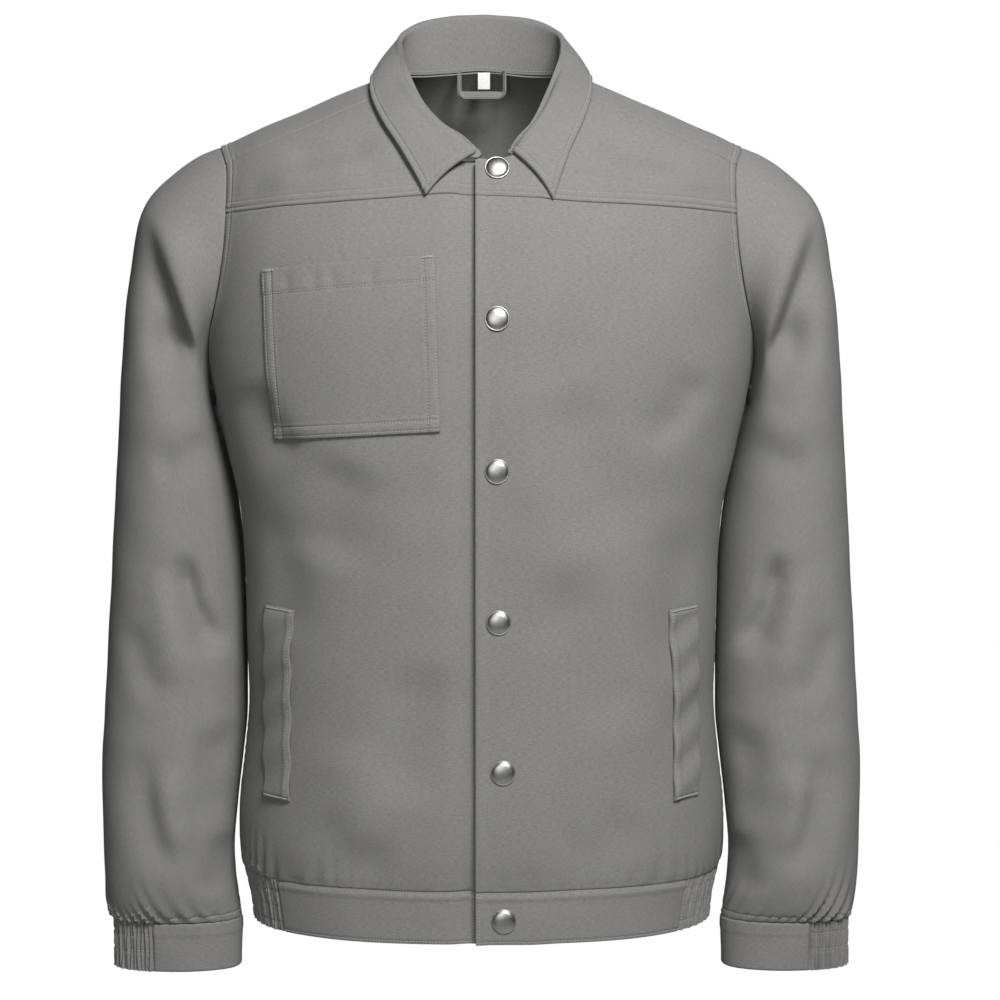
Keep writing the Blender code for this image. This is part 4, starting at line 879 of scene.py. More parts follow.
# The creases are given on the left sleeve; the right one has their mirror image.
SLEEVE_CREASES = (
    Crease(FRONT, -0.0080, 0.008, 0.026, ((0.2600, -0.1000), (0.2530, -0.1110), (0.2405, -0.1410),
                                          (0.2330, -0.1620), (0.2245, -0.1890), (0.2150, -0.2210),
                                          (0.2110, -0.2400))),
    Crease(FRONT, 0.0152, 0.024, 0.007, ((0.2700, -0.1020), (0.2640, -0.1130), (0.2515, -0.1430),
                                         (0.2440, -0.1640), (0.2350, -0.1910), (0.2240, -0.2230),
                                         (0.2150, -0.2440))),
    Crease(FRONT, 0.00832, 0.018, 0.013, ((0.2583, -0.1756), (0.2326, -0.2215), (0.2248, -0.2480),
                                          (0.2076, -0.2667))),
    Crease(FRONT, -0.0048, 0.008, 0.008, ((0.2300, -0.2020), (0.2193, -0.2239), (0.2021, -0.2636))),
    Crease(FRONT, 0.00416, 0.018, 0.014, ((0.2583, -0.3041), (0.2300, -0.2960), (0.2037, -0.2808))),
    Crease(FRONT, 0.0112, 0.018, 0.007, ((0.2320, -0.3650), (0.2216, -0.4070), (0.2076, -0.4335),
                                         (0.2006, -0.4522))),
    Crease(FRONT, -0.0048, 0.014, 0.014, ((0.2480, -0.3700), (0.2400, -0.4300), (0.2300, -0.4800))),
    Crease(FRONT, 0.0056, 0.016, 0.010, ((0.2000, -0.4950), (0.2080, -0.5400), (0.2045, -0.5900))),
    Crease(FRONT, 0.0048, 0.014, 0.010, ((0.1951, -0.5880), (0.2045, -0.6220), (0.2090, -0.6400))),
    Crease(FRONT, 0.00576, 0.015, 0.012, ((0.2606, -0.5145), (0.2629, -0.5542), (0.2536, -0.5892),
                                          (0.2403, -0.6235))),
    Crease(FRONT, -0.00384, 0.010, 0.010, ((0.244, -0.530), (0.244, -0.570), (0.233, -0.608))),
    Crease(FRONT, 0.00384, 0.012, 0.012, ((0.2750, -0.4200), (0.2640, -0.4600), (0.2450, -0.4900))),
    Crease(BACK, 0.0128, 0.018, 0.010, ((0.2620, -0.1080), (0.2460, -0.1500), (0.2330, -0.1960),
                                        (0.2180, -0.2400))),
    Crease(BACK, 0.0088, 0.016, 0.012, ((0.2820, -0.3450), (0.2600, -0.3800), (0.2220, -0.4050))),
    Crease(BACK, 0.0072, 0.018, 0.014, ((0.2760, -0.4650), (0.2520, -0.4900), (0.2240, -0.5020))),
    Crease(BACK, -0.00416, 0.014, 0.014, ((0.2820, -0.4150), (0.2560, -0.4400), (0.2240, -0.4560))),
    Crease(BACK, 0.0048, 0.014, 0.014, ((0.2500, -0.5300), (0.2420, -0.5700), (0.2480, -0.6200))),
    Crease(BACK, 0.00448, 0.014, 0.012, ((0.2560, -0.2600), (0.2400, -0.2900), (0.2150, -0.3080))),
)


def section_at(number, turn):
    """Places on a sleeve's sections; turn is 0 at the outer side and runs forwards."""
    inner_x, inner_z, outer_x, outer_z, mid_y, half_depth = smooth(SLEEVE_SECTIONS, number)
    exponent = 2 / (2 + (SLEEVE_ROUNDNESS - 2) * ease(0, 6, number))
    share = (1 + signed(np.cos(turn), exponent)) / 2
    return np.stack([inner_x + (outer_x - inner_x) * share,
                     mid_y - half_depth * signed(np.sin(turn), exponent),
                     inner_z + (outer_z - inner_z) * share], -1)


places = np.array(SLEEVE_SECTIONS)
runs = (np.hypot(*np.diff(places[:, 1:3], axis=0).T)
        + np.hypot(*np.diff(places[:, 3:5], axis=0).T)) / 2
runs = np.append(0, np.cumsum(runs))
sleeve_rows = graded(runs[-1], coarse=SLEEVE_SPACING) * runs[-1]
sleeve_rows = np.interp(sleeve_rows, runs, places[:, 0])
sleeve_turns = np.linspace(0, 2 * math.pi, SLEEVE_COLUMNS + 1)[:-1]
last_section = len(SLEEVE_SECTIONS) - 1
number, turn = np.meshgrid(sleeve_rows, sleeve_turns, indexing="ij")
face = np.where(turn < math.pi, FRONT, BACK)
step = np.where(turn < math.pi, turn, 2 * math.pi - turn) / math.pi
for side, side_name in SIDES:
    hole = on_form(*armhole(step[0], face[0]), face[0])
    points = section_at(number, turn)
    points += (hole - section_at(number * 0, turn)) * (1 - ease(0, 3, number))[..., None]
    middle = (section_at(number, turn * 0) + section_at(number, turn * 0 + math.pi)) / 2
    normals = grid_normals(points, points - middle, around=True)
    sunk = -rippled(points * (1, 1, 1.3) + (0.1 * side, 0, 0), 0.0004)
    for one_face in (FRONT, BACK):
        sunk += np.where(face == one_face, creased(SLEEVE_CREASES, one_face, points), 0)
    sunk *= ease(0.3, 2.0, number) * ease(0, 1.6, last_section - number)
    sunk *= np.abs(np.sin(turn)) ** 0.6
    points = points - unit(points - middle) * sunk[..., None]
    gap, along = from_borders(points)["bottom"]
    from_outer = np.minimum(turn, 2 * math.pi - turn)
    gathered = 0.40 + 0.60 * (1 - ease(1.15, 1.5, from_outer))
    height = gathered * drawn_in(gap, along, CUFF_GATHERS, 2.1 * side,
                                 spacing=CUFF_GATHER_SPACING)
    points = points + normals * height[..., None]
    points, normals = points * (side, 1, 1), normals * (side, 1, 1)
    seams = (Seam("top", pucker=0.0002, seed=0.5 + side),
             Seam("bottom", 0.0, 0.0080, (CUFF_SEAM_ROW,), 0.0002, 1.5 + side))
    sleeve, outer = cloth("sleeve_%s_cloth" % side_name, points, normals, canvas, seams,
                          around=True)
    row_on(outer, normals, "bottom", CUFF_SEAM_ROW, around=True)
    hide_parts("sleeve_" + side_name)
    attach(sleeve, "root")
sew("sleeve_stitches")

# ------------------------------------------------------------------ cuffs
# A cuff is a folded band of the same canvas. Round its outer side a wide elastic is sewn in
# with two rows, which gathers the cloth into narrow upright ribs; the rest of it is plain.
CUFF_TOP, CUFF_BOTTOM, CUFF_DEEP = SLEEVE_SECTIONS[-1].inner_z, -0.697, 0.0385
CUFF_X, CUFF_HALF_WIDTH, CUFF_PLAIN_WIDTH = 0.2410, 0.0505, 0.150
CUFF_HALF_DEPTH, CUFF_MID_Y = (0.0330, 0.0310), (-0.0270, -0.0260)
# An elastic's arc, the form's radius there, its depth and the grid's spacing down it, its ribs
# with the columns in each, and its stitch lines.
Elastic = namedtuple("Elastic", "arc radius deep coarse ribs columns rows")
CUFF_ELASTIC = Elastic((math.radians(16), math.radians(164)), 0.045, CUFF_DEEP, 0.0018, 36, 8,
                       (0.0095, 0.0227))
RIB_HEIGHT = 0.0026
ELASTIC_SET_BACK = 0.0020
TUCK = 0.0025


def cuff_at(turn, level, side):
    """Places on a cuff and the directions out; turn is 0 at the front, level 0 at the top."""
    depth = CUFF_HALF_DEPTH[0] + (CUFF_HALF_DEPTH[1] - CUFF_HALF_DEPTH[0]) * level
    mid_y = CUFF_MID_Y[0] + (CUFF_MID_Y[1] - CUFF_MID_Y[0]) * level
    exponent = 2 / SLEEVE_ROUNDNESS
    across, deep = signed(np.sin(turn), exponent), -signed(np.cos(turn), exponent)
    points = np.stack([side * (CUFF_X + CUFF_HALF_WIDTH * across), mid_y + depth * deep,
                       CUFF_TOP + (CUFF_BOTTOM - CUFF_TOP) * level], -1)
    bend = SLEEVE_ROUNDNESS - 1
    normals = np.stack([side * signed(across, bend) / CUFF_HALF_WIDTH,
                        signed(deep, bend) / depth, np.zeros(np.shape(across))], -1)
    return points, unit(normals)


def ribbed(across, down, ribs, seed):
    """Height of an elastic piece's gathers, whose ends are tucked under the next pieces.

    across runs from 0 to 1, down in metres.
    """
    drift = 0.16 * np.sin(down * 160 + seed) * np.sin(across * 57 + seed)
    wave = 0.5 - 0.5 * np.cos(2 * np.pi * (ribs * across + drift))
    uneven = 0.75 + 0.25 * np.sin(across * 83 + 3 * seed + down * 70)
    gathers = RIB_HEIGHT * uneven * wave ** 0.8 - ELASTIC_SET_BACK
    tucked = 1 - ease(0.008, 0.030, np.minimum(across, 1 - across))
    return gathers + (-CLOTH - 0.0006 - gathers) * tucked


def elastic_piece(name, elastic, on_band, side, seed):
    """A cuff's or a waistband's cloth gathered on its elastic, with the stitch lines."""
    share = np.linspace(0, 1, elastic.ribs * elastic.columns + 1)
    first, last = elastic.arc[0] - TUCK / elastic.radius, elastic.arc[1] + TUCK / elastic.radius
    levels = graded(elastic.deep, coarse=elastic.coarse, fine=0.0010)
    turn, level = np.meshgrid(first + (last - first) * share, levels)
    points, normals = on_band(turn, level, side)
    down = level * elastic.deep
    height = ribbed(share, down, elastic.ribs, seed) - stitch_dips(down, elastic.rows)
    piece, outer = cloth(name, points + normals * height[..., None], normals, canvas)
    for row in elastic.rows:
        row_on(outer, normals, "top", row)
    return piece


first, last = CUFF_ELASTIC.arc[1], CUFF_ELASTIC.arc[0] + 2 * math.pi
plain_turns = first + (last - first) * graded(CUFF_PLAIN_WIDTH, coarse=0.0026)
for side, side_name in SIDES:
    turn, level = np.meshgrid(plain_turns, graded(CUFF_DEEP, coarse=0.0020))
    points, normals = cuff_at(turn, level, side)
    points = points + normals * rippled(points * (2.2 * side, 2.2, 2.2), 0.0003)[..., None]
    seams = (Seam("top", 0.0005, 0.0100, (), 0.0002, 0.2 + side), Seam("bottom"), Seam("near"),
             Seam("far"))
    cuff = cloth("cuff_plain_%s_cloth" % side_name, points, normals, canvas, seams)[0]
    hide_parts("cuff_plain_" + side_name)
    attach(cuff, "root")

    cuff = elastic_piece("cuff_elastic_%s_cloth" % side_name, CUFF_ELASTIC, cuff_at, side,
                         1.7 * side)
    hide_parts("cuff_elastic_" + side_name)
    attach(cuff, "root")
sew("cuff_stitches", pitch=0.0021, length=0.0016)

# ------------------------------------------------------------------ waistband
# A folded canvas band round the hem, 40 mm deep. It is plain over the fronts and the middle of
# the back, and gathered on elastic over both sides, where the body blouses above it.
BAND_DEEP = BAND_TOP - HEM
BAND_ELASTIC = Elastic(WAIST_ELASTIC, 0.160, BAND_DEEP, 0.0020, 42, 7, (0.0080, 0.0200, 0.0320))
BAND_ROWS = {"top": 0.0017, "bottom": 0.0020}
BAND_END_ROW = 0.0024
BAND_FRONT_WIDTH, BAND_BACK_HALF, BAND_PROUD = 0.175, 0.130, 0.0004


def band_seams(seed, end_rows=()):
    """The waistband's four borders; its long ones are topstitched."""
    return (Seam("top", 0.0006, rows=(BAND_ROWS["top"],), pucker=0.00015, seed=seed),
            Seam("bottom", rows=(BAND_ROWS["bottom"],), pucker=0.0001, seed=seed + 1),
            Seam("near", rows=end_rows), Seam("far"))


def band_at(turn, level, side):
    """Places on the waistband and the directions out; turn is 0 at the front centre."""
    face = np.where(turn < QUARTER, FRONT, BACK)
    angle = side * np.where(turn < QUARTER, turn, 2 * QUARTER - turn)
    lift = lift_at(0.0, BAND_TOP - BAND_DEEP * level, FRONT)
    return on_body(angle, lift, face, ease(0, SIDE_FADE, np.abs(QUARTER - turn) / QUARTER))


for side, side_name in SIDES:
    first = float(angle_at(EDGE_ACROSS[side], BAND_TOP))
    turns = first + (WAIST_ELASTIC[0] - first) * graded(BAND_FRONT_WIDTH, coarse=0.0026)
    turn, level = np.meshgrid(turns, graded(BAND_DEEP, coarse=0.0020))
    points, normals = band_at(turn, level, side)
    points = lapped(points, normals, side)
    points = points + normals * (BAND_PROUD * ease(0, 0.1, level))[..., None]
    seams = band_seams(0.4 + side, (BAND_END_ROW,) if side == LEFT else ())
    band, outer = cloth("waistband_front_%s_cloth" % side_name, points, normals, canvas, seams)
    for border, distance in BAND_ROWS.items():
        row_on(outer, normals, border, distance)
    if side == LEFT:
        row_on(outer, normals, "near", BAND_END_ROW)
    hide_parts("waistband_front_" + side_name)
    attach(band, "root")

    band = elastic_piece("waistband_elastic_%s_cloth" % side_name, BAND_ELASTIC, band_at, side,
                         2.9 * side)
    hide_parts("waistband_elastic_" + side_name)
    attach(band, "root")

half = graded(BAND_BACK_HALF, coarse=0.0030, end=False)
turns = WAIST_ELASTIC[1] + (math.pi - WAIST_ELASTIC[1]) * half
turns = np.append(turns, 2 * math.pi - turns[-2::-1])
turn, level = np.meshgrid(turns, graded(BAND_DEEP, coarse=0.0020))
beyond = turn > math.pi
points, normals = band_at(np.where(beyond, 2 * math.pi - turn, turn), level,
                          np.where(beyond, LEFT, RIGHT))
band, outer = cloth("waistband_back_cloth", points, normals, canvas, band_seams(0.8))
for border, distance in BAND_ROWS.items():
    row_on(outer, normals, border, distance)
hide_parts("waistband_back")
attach(band, "root")
sew("waistband_stitches")

# ------------------------------------------------------------------ collar
# Two plies of canvas with a stiffener, 2 mm thick: a stand sewn to the neck edge, a rolled
# fold and a pointed fall, topstitched 5 mm inside its free edge.
CollarPost = namedtuple("CollarPost", "neck_turn roll_x roll_y roll_z edge_x edge_y shift")
COLLAR_POSTS = (
    CollarPost(8, 0.0120, -0.1030, -0.0630, 0.0475, -0.1160, 0.0095),
    CollarPost(15, 0.0220, -0.0930, -0.0510, 0.0545, -0.1080, 0.0070),
    CollarPost(27, 0.0360, -0.0790, -0.0380, 0.0640, -0.0960, 0.0040),
    CollarPost(42, 0.0480, -0.0600, -0.0200, 0.0760, -0.0780, 0.0012),
    CollarPost(62, 0.0575, -0.0380, 0.0030, 0.0840, -0.0550, 0.0),
    CollarPost(84, 0.0630, -0.0130, 0.0230, 0.0860, -0.0250, 0.0),
    CollarPost(104, 0.0650, 0.0110, 0.0370, 0.0855, 0.0060, 0.0),
    CollarPost(122, 0.0615, 0.0310, 0.0475, 0.0800, 0.0300, 0.0),
    CollarPost(141, 0.0470, 0.0460, 0.0570, 0.0630, 0.0495, 0.0),
    CollarPost(160, 0.0250, 0.0535, 0.0625, 0.0360, 0.0645, 0.0),
    CollarPost(180, 0.0000, 0.0560, 0.0640, 0.0000, 0.0710, 0.0),
)
COLLAR_CLOTH, COLLAR_SEAM, COLLAR_LIFT = 0.0020, 0.0007, 0.0028
ROLL_RADIUS, FALL_BELLY, EDGE_SHIFT_SHARE = 0.0026, 0.0030, 0.65
COLLAR_ROW, NECK_ROW = 0.0050, 0.0025
FOLD_TURNS = (180, 135, 90, 45, 0)
FALL_SHARES = (0.25, 0.5, 0.75)


def one_on_body(place):
    """One place on the body's cloth, given by its angle, lift and face, and the way out of it."""
    points, normals = on_body(*(np.array([value]) for value in place))
    return points[0], normals[0]


def lap_under(point):
    """The left front's lap where the collar crosses it, at the front of the neck."""
    if point[1] >= NECK_FRONT / 2:
        return 0.0
    return float(LAP * (1 - ease(LAP_END, LAP_FLAT, point[0])))


def lifted_clear(point):
    """The place, moved out if need be so that the collar's cloth lies on the body there."""
    normal = outward(point[None])[0]
    here = float(fullness(point[None])[0])
    step = 0.0005
    slope = (float(fullness((point + normal * step)[None])[0]) - here) / step
    short = COLLAR_LIFT + lap_under(point) - (here - 1) / slope
    return point + normal * max(short, 0.0)


def collar_line(post, side):
    """The middle line of the collar's cloth across one post: stand, fold and fall."""
    neck_turn = side * math.radians(post.neck_turn) + post.shift / NECK_HALF_WIDTH
    neck, neck_normal = one_on_body(neck_place(neck_turn))
    neck = neck + neck_normal * lap_under(neck)
    roll = np.array((side * post.roll_x + post.shift, post.roll_y, post.roll_z))
    edge_x = side * post.edge_x + post.shift * EDGE_SHIFT_SHARE
    edge = lifted_clear(one_on_body(seen_from_above(edge_x, post.edge_y))[0])
    out = unit((edge - neck) * (1, 1, 0))
    up = unit(roll - neck)
    centre = roll - up * ROLL_RADIUS
    line = [neck + up * COLLAR_SEAM]
    line.append((line[0] + centre - out * ROLL_RADIUS) / 2)
    for turn in FOLD_TURNS:
        turn = math.radians(turn)
        line.append(centre + (out * math.cos(turn) + up * math.sin(turn)) * ROLL_RADIUS)
    fold_end = line[-1] = lifted_clear(line[-1])
    belly = unit(np.cross(edge - fold_end, (-out[1], out[0], 0)))
    belly = belly * (-1 if belly[2] < 0 else 1)
    for share in FALL_SHARES:
        bow = belly * FALL_BELLY * math.sin(share * math.pi)
        line.append(lifted_clear(fold_end * (1 - share) + edge * share + bow))
    return line + [edge]


lines = [collar_line(post, RIGHT) for post in COLLAR_POSTS]
lines += [collar_line(post, LEFT) for post in reversed(COLLAR_POSTS[:-1])]
lines = np.array(lines)
posts = np.arange(len(lines))
fold_end = 1 + len(FOLD_TURNS)
runs = np.append(0, np.cumsum(np.linalg.norm(np.diff(lines[:, fold_end], axis=0), axis=1)))
along = np.interp(graded(runs[-1], coarse=0.0030) * runs[-1], runs, posts)
lines = np.stack([np.moveaxis(smooth(np.column_stack([posts, lines[:, place]]), along), 0, -1)
                  for place in range(lines.shape[1])], axis=1)
runs = np.append(0, np.cumsum(np.linalg.norm(np.diff(lines[len(lines) // 4], axis=0), axis=1)))
down = graded(runs[-1], coarse=0.0018, start=False) * runs[-1]
points = np.stack([np.moveaxis(smooth(np.column_stack([runs, line]), down), 0, -1)
                   for line in lines])
normals = unit(np.cross(np.gradient(points, axis=0), np.gradient(points, axis=1)))
points = points + normals * (COLLAR_CLOTH / 2 + rippled(points * 1.6, 0.00025))[..., None]
seams = tuple(Seam(border, 0.0002, 0.0080, (COLLAR_ROW,), 0.00022, seed)
              for border, seed in (("far", 1.1), ("top", 2.2), ("bottom", 3.3)))
collar, outer = cloth("collar_cloth", points, normals, canvas, seams, thickness=COLLAR_CLOTH)
row_on(outer, normals, "far", COLLAR_ROW, 0.03, 0.97)
row_on(outer, normals, "top", COLLAR_ROW, 0.30, 0.94)
row_on(outer, normals, "bottom", COLLAR_ROW, 0.30, 0.94)
row_on(outer, normals, "near", NECK_ROW, 0.04, 0.96)
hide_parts("collar")
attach(collar, "root")
sew("collar_stitches")

# ------------------------------------------------------------------ chest pocket and welts
# The chest pocket is a canvas patch with a 20 mm hem, sewn on with two rows and with a bar
# at each top corner. The two welts are stiffened strips over the side pockets' mouths.
Corner = namedtuple("Corner", "x z")
CHEST_POCKET = (Corner(-0.1650, -0.1510), Corner(-0.0346, -0.1417),
                Corner(-0.0305, -0.2730), Corner(-0.1596, -0.2800))
RIGHT_WELT = (Corner(-0.1670, -0.4070), Corner(-0.1445, -0.4100),
              Corner(-0.1460, -0.5560), Corner(-0.1670, -0.5545))
POCKET_HEM = 0.0198
POCKET_ROWS = (0.0018, 0.0088)
POCKET_PUCKERS = (0.022, 0.046, 0.060, 0.090)
PUCKER_DEEP, PUCKER_WIDTH, PUCKER_MIDDLE, PUCKER_REACH = 0.0011, 0.0035, 0.0130, 0.0080
POCKET_SIDE, WELT_WIDTH, WELT_LENGTH = 0.130, 0.022, 0.147
WELT_ROW = 0.0022
WELT_PULL, WELT_PULL_LENGTH, WELT_SUNK = 0.0010, 0.034, 0.0002
LYING_GAP = 0.0013
PATCH_CLOTH, WELT_CLOTH = 0.0012, 0.0018
# A bar's thread stands on the cloth. Its rows and its first and last places are the grid's,
# but those of the pocket's rows are given by how far they lie below the top.
BAR_HEIGHT = 0.00025
POCKET_BAR_ROWS, POCKET_BAR = (0.0012, 0.0022), slice(2, 13)
WELT_BAR_ROWS, WELT_BAR = (2, -3), slice(2, -2)


def patch_grid(corners, across, down, thickness, side):
    """A grid of places lying on a front, between four corners of X and height."""
    top_near, top_far, end_far, end_near = (np.array(corner) for corner in corners)
    across, down = across[None, :, None], down[:, None, None]
    spots = ((top_near * (1 - across) + top_far * across) * (1 - down)
             + (end_near * (1 - across) + end_far * across) * down)
    x, z = spots[..., 0], spots[..., 1]
    points, normals = on_body(angle_at(x, z), lift_at(x, z, FRONT), FRONT)
    return lapped(points, normals, side) + normals * (LYING_GAP + thickness), normals


points, normals = patch_grid(CHEST_POCKET, graded(POCKET_SIDE, coarse=0.0026),
                             graded(POCKET_SIDE, coarse=0.0026, reach=0.022), PATCH_CLOTH,
                             RIGHT)
gap, along = from_borders(points)["top"]
puckers = sum(np.exp(-((along - place) / PUCKER_WIDTH) ** 2) for place in POCKET_PUCKERS)
puckers = puckers * np.exp(-((gap - PUCKER_MIDDLE) / PUCKER_REACH) ** 2)
points = points - normals * (PUCKER_DEEP * puckers)[..., None]
seams = [Seam("top", 0.0005, POCKET_HEM, (POCKET_HEM,), 0.00012, 0.3)]
seams += [Seam(border, 0.0005, 0.0105, POCKET_ROWS, 0.00018, seed)
          for border, seed in (("near", 1.3), ("far", 2.3), ("bottom", 3.3))]
pocket, outer = cloth("chest_pocket_cloth", points, normals, canvas, seams,
                      thickness=PATCH_CLOTH)
row_on(outer, normals, "top", POCKET_HEM, 0.04, 0.96)
for border in ("near", "far", "bottom"):
    for distance in POCKET_ROWS:
        row_on(outer, normals, border, distance, 0.015, 0.985)
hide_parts("chest_pocket")
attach(pocket, "root")

bars = []
for inward, column in ((1, 0), (-1, -1)):
    for gap in POCKET_BAR_ROWS:
        row = int(np.searchsorted(lengths_along(outer, 0)[:, column], gap))
        facing = normals[row, ::inward][POCKET_BAR]
        bars.append((outer[row, ::inward][POCKET_BAR] + facing * BAR_HEIGHT, facing))

for side, side_name in SIDES:
    corners, medial, lateral = RIGHT_WELT, "far", "near"
    if side == LEFT:
        corners = [Corner(-RIGHT_WELT[n].x, RIGHT_WELT[n].z) for n in (1, 0, 3, 2)]
        medial, lateral = "near", "far"
    points, normals = patch_grid(corners, graded(WELT_WIDTH, coarse=0.0016),
                                 graded(WELT_LENGTH, coarse=0.0026), WELT_CLOTH, side)
    gap, along = from_borders(points)["top"]
    pull = WELT_PULL * np.sin(2 * math.pi * gap / WELT_PULL_LENGTH + along * 90 + side)
    pull = pull * ease(0, 0.01, gap)
    points = points + normals * (pull - WELT_SUNK)[..., None]
    seams = (Seam(medial, 0.0006, rows=(WELT_ROW,), pucker=0.00025, seed=0.3 + side),
             Seam(lateral), Seam("top", rows=(WELT_ROW,)), Seam("bottom", rows=(WELT_ROW,)))
    welt, outer = cloth("pocket_welt_%s_cloth" % side_name, points, normals, canvas, seams,
                        thickness=WELT_CLOTH)
    row_on(outer, normals, medial, WELT_ROW, 0.01, 0.99)
    for row in WELT_BAR_ROWS:
        facing = normals[row, WELT_BAR]
        bars.append((outer[row, WELT_BAR] + facing * BAR_HEIGHT, facing))
    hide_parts("pocket_welt_" + side_name)
    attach(welt, "root")
sew("pocket_stitches")
stitch_rows.extend(bars)
sew("pocket_bars", pitch=0.0007, length=0.0011, width=0.0007, height=0.0004)

# ------------------------------------------------------------------ snaps
# Six pressed nickel-plated caps, 19 mm across: a satin dome inside a rolled rim. Behind each,
# inside the right front, is the flat disc of its other half.
SNAP_X = (0.0117, 0.0115, 0.0115, 0.0127, 0.0160, 0.0166)
SNAP_TOP, SNAP_PITCH = -0.0765, 0.1130
CAP_RADIUS, CAP_THICKNESS = 0.0094, 0.0008
DISC_RADIUS, DISC_THICKNESS = 0.0065, 0.0006
SNAP_GAP = 0.0003
Pressed = namedtuple("Pressed", "inset rise")
CAP_RINGS = (Pressed(0.0003, 0.0003), Pressed(0.0004, 0.0), Pressed(0.0002, -0.0002),
             Pressed(0.0004, 0.0006), Pressed(0.0010, 0.0006), Pressed(0.0016, 0.0005),
             Pressed(0.0024, 0.0004), Pressed(0.0018, 0.0001))
BACK_RINGS = (Pressed(0.0004, 0.0003), Pressed(0.0014, 0.0001), Pressed(0.0006, 0.0005),
              Pressed(0.0020, 0.0001))


def satin_metal(name, colour):
    """Nickel plate with faint handling scuffs."""
    made, nodes, links, shader = new_material(
        name, {"Metallic": 1.0, "Base Color": (*colour, 1)})
    place = nodes.new("ShaderNodeTexCoord")
    scuffs = nodes.new("ShaderNodeTexNoise")
    scuffs.inputs["Scale"].default_value = 420
    scuffs.inputs["Detail"].default_value = 5
    links.new(place.outputs["Object"], scuffs.inputs["Vector"])
    rough = nodes.new("ShaderNodeMapRange")
    rough.inputs["To Min"].default_value = 0.30
    rough.inputs["To Max"].default_value = 0.48
    links.new(scuffs.outputs["Fac"], rough.inputs["Value"])
    links.new(rough.outputs[0], shader.inputs["Roughness"])
    raised = nodes.new("ShaderNodeBump")
    raised.inputs["Strength"].default_value = 0.25
    raised.inputs["Distance"].default_value = 0.0001
    links.new(scuffs.outputs["Fac"], raised.inputs["Height"])
    links.new(raised.outputs[0], shader.inputs["Normal"])
    return made


nickel = satin_metal("satin_nickel", (0.44, 0.435, 0.42))


def pressed_disc(name, radius, thickness, rings):
    """A disc with its upper face pressed into rings, standing on the plane Z = 0."""
    bpy.ops.mesh.primitive_cylinder_add(vertices=40, radius=radius, depth=thickness)
    disc = bpy.context.object
    disc.name = name
    bpy.ops.object.mode_set(mode="EDIT")
    bpy.ops.mesh.select_all(action="SELECT")
    bpy.ops.transform.translate(value=(0, 0, thickness / 2))
    bpy.ops.mesh.select_all(action="DESELECT")
    bpy.ops.mesh.select_mode(type="FACE")
    bpy.ops.object.mode_set(mode="OBJECT")
    top = max(disc.data.polygons, key=lambda polygon: polygon.center.z)
    top.select = True
    bpy.ops.object.mode_set(mode="EDIT")
    for ring in rings:
        bpy.ops.mesh.inset(thickness=ring.inset, depth=0)
        bpy.ops.transform.translate(value=(0, 0, ring.rise))
    bpy.ops.object.mode_set(mode="OBJECT")
    rounding = disc.modifiers.new("rounding", "SUBSURF")
    rounding.levels = rounding.render_levels = 1
    bpy.ops.object.modifier_apply(modifier=rounding.name)
    bpy.ops.object.shade_smooth_by_angle(angle=math.radians(50))
    disc.data.materials.append(nickel)
    disc.select_set(False)
    return disc


cap = pressed_disc("snap_cap", CAP_RADIUS, CAP_THICKNESS, CAP_RINGS)
disc = pressed_disc("snap_back", DISC_RADIUS, DISC_THICKNESS, BACK_RINGS)
for number, x in enumerate(SNAP_X):
    z = SNAP_TOP - SNAP_PITCH * number
    place, normal = one_on_body((angle_at(x, z), lift_at(x, z, FRONT), FRONT))
    for model, node_name, height in ((cap, "snap_cap_%d", LAP + SNAP_GAP),
                                     (disc, "snap_back_%d", -CLOTH - SNAP_GAP)):
        snap = model.copy()
        snap.data = model.data.copy()
        snap.name = (node_name + "_metal") % (number + 1)
        bpy.context.scene.collection.objects.link(snap)
        way = Vector(normal) * (1 if height > 0 else -1)
        turn = way.to_track_quat("Z", "Y").to_matrix().to_4x4()
        snap.data.transform(Matrix.Translation(Vector(place + normal * height)) @ turn)
        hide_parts(node_name % (number + 1))
        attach(snap, "root")
for model in (cap, disc):
    bpy.data.objects.remove(model)

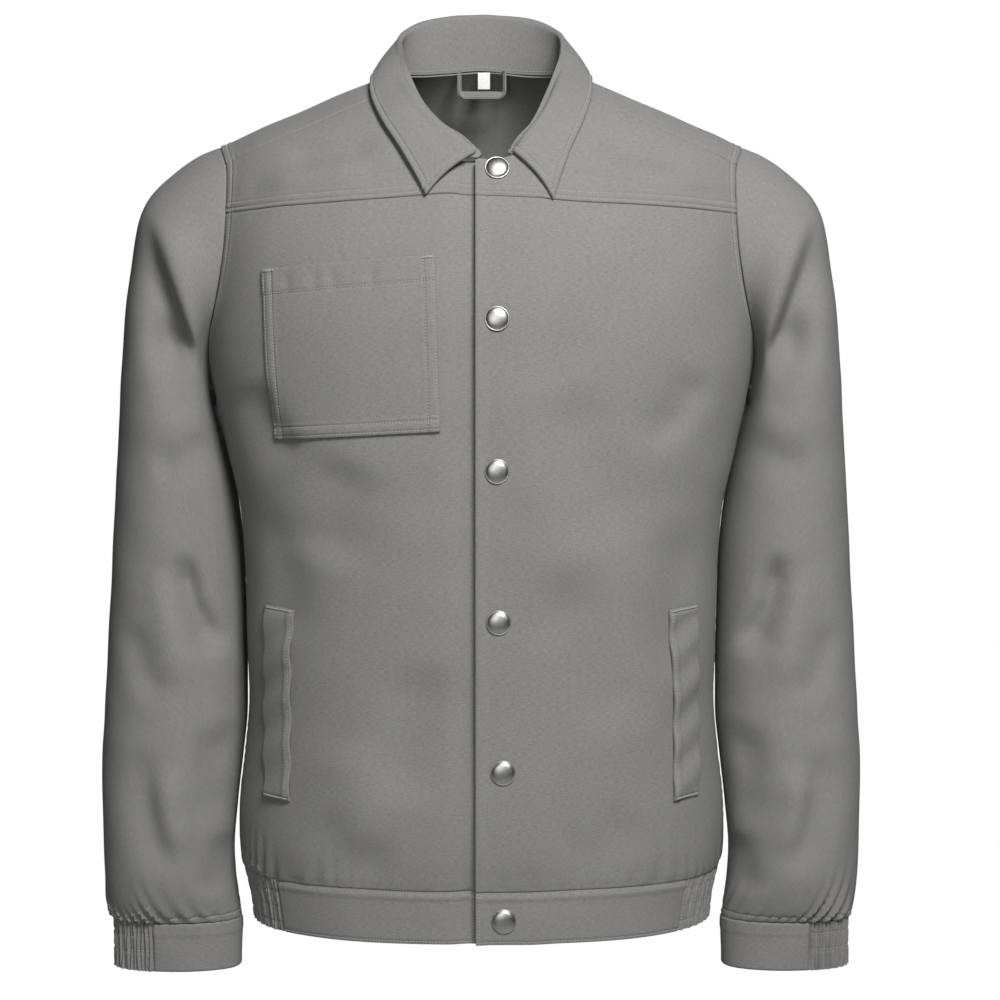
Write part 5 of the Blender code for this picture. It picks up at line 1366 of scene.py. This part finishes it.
# ------------------------------------------------------------------ loop and label in the neck
# A narrow folded band of the canvas, caught in the neck seam at both ends, to hang the jacket
# up by, and a blank woven tape label behind it.
LOOP_HALF_WIDTH, LOOP_TOP, LOOP_BOTTOM, LOOP_CORNER = 0.0175, 0.0184, -0.0012, 0.0040
LOOP_BAND, LOOP_Y, LOOP_CLOTH, LOOP_TWIST, LOOP_ROW = 0.0060, 0.0491, 0.0012, 0.45, 0.0018
LABEL_X, LABEL_Z, LABEL_Y, LABEL_BOW = (-0.0028, 0.0070), (0.0175, 0.0040), 0.0525, 0.0004
LABEL_TAPE = 0.0008
FORWARD = np.array([0.0, -1.0, 0.0])
corner_turns = np.radians(np.linspace(0, 90, 10))
side_x = -LOOP_HALF_WIDTH + LOOP_CORNER * (1 - np.cos(corner_turns))
side_z = LOOP_BOTTOM + LOOP_CORNER * (1 - np.sin(corner_turns))
straight = np.linspace(LOOP_TOP, LOOP_BOTTOM + LOOP_CORNER, 14)[:-1]
bottom_x = np.linspace(side_x[-1], 0, 22)[1:]
path_x = np.concatenate([np.full(len(straight), -LOOP_HALF_WIDTH), side_x, bottom_x])
path_z = np.concatenate([straight, side_z, np.full(len(bottom_x), LOOP_BOTTOM)])
path_x = np.append(path_x, -path_x[-2::-1])
path_z = np.append(path_z, path_z[-2::-1])
middle = np.stack([path_x, np.full(len(path_x), LOOP_Y), path_z], -1)
along = unit(np.gradient(middle, axis=0))
upright = np.abs(along[:, 2])
aside = unit(np.stack([-along[:, 2] * LOOP_TWIST, upright, along[:, 0]], -1))
share = np.linspace(-0.5, 0.5, 9)
points = middle[:, None] + aside[:, None] * (share * LOOP_BAND)[None, :, None]
normals = grid_normals(points, FORWARD)
swell = 0.0003 * np.cos(share * math.pi)[None, :] + 0.0004 * np.sin(path_x * 260)[:, None]
points = points + normals * (swell - 0.0001)[..., None]
loop, outer = cloth("hanging_loop_cloth", points, normals, canvas, thickness=LOOP_CLOTH)
row_on(outer, normals, "near", LOOP_ROW, 0.02, 0.98)
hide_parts("hanging_loop")
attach(loop, "root")
sew("loop_stitches", pitch=0.0020, length=0.0016)

tape = woven("white_tape", (0.80, 0.80, 0.79), threads=2600.0, bump=0.00004)
x, z = np.meshgrid(np.linspace(*LABEL_X, 11), np.linspace(*LABEL_Z, 14))
up_label = (z - LABEL_Z[1]) / (LABEL_Z[0] - LABEL_Z[1])
points = np.stack([x, LABEL_Y - LABEL_BOW * np.sin(up_label * math.pi), z], -1)
normals = np.broadcast_to(FORWARD, points.shape)
label = cloth("size_label_tape", points, normals, tape, thickness=LABEL_TAPE)[0]
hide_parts("size_label_blank")
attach(label, "root")
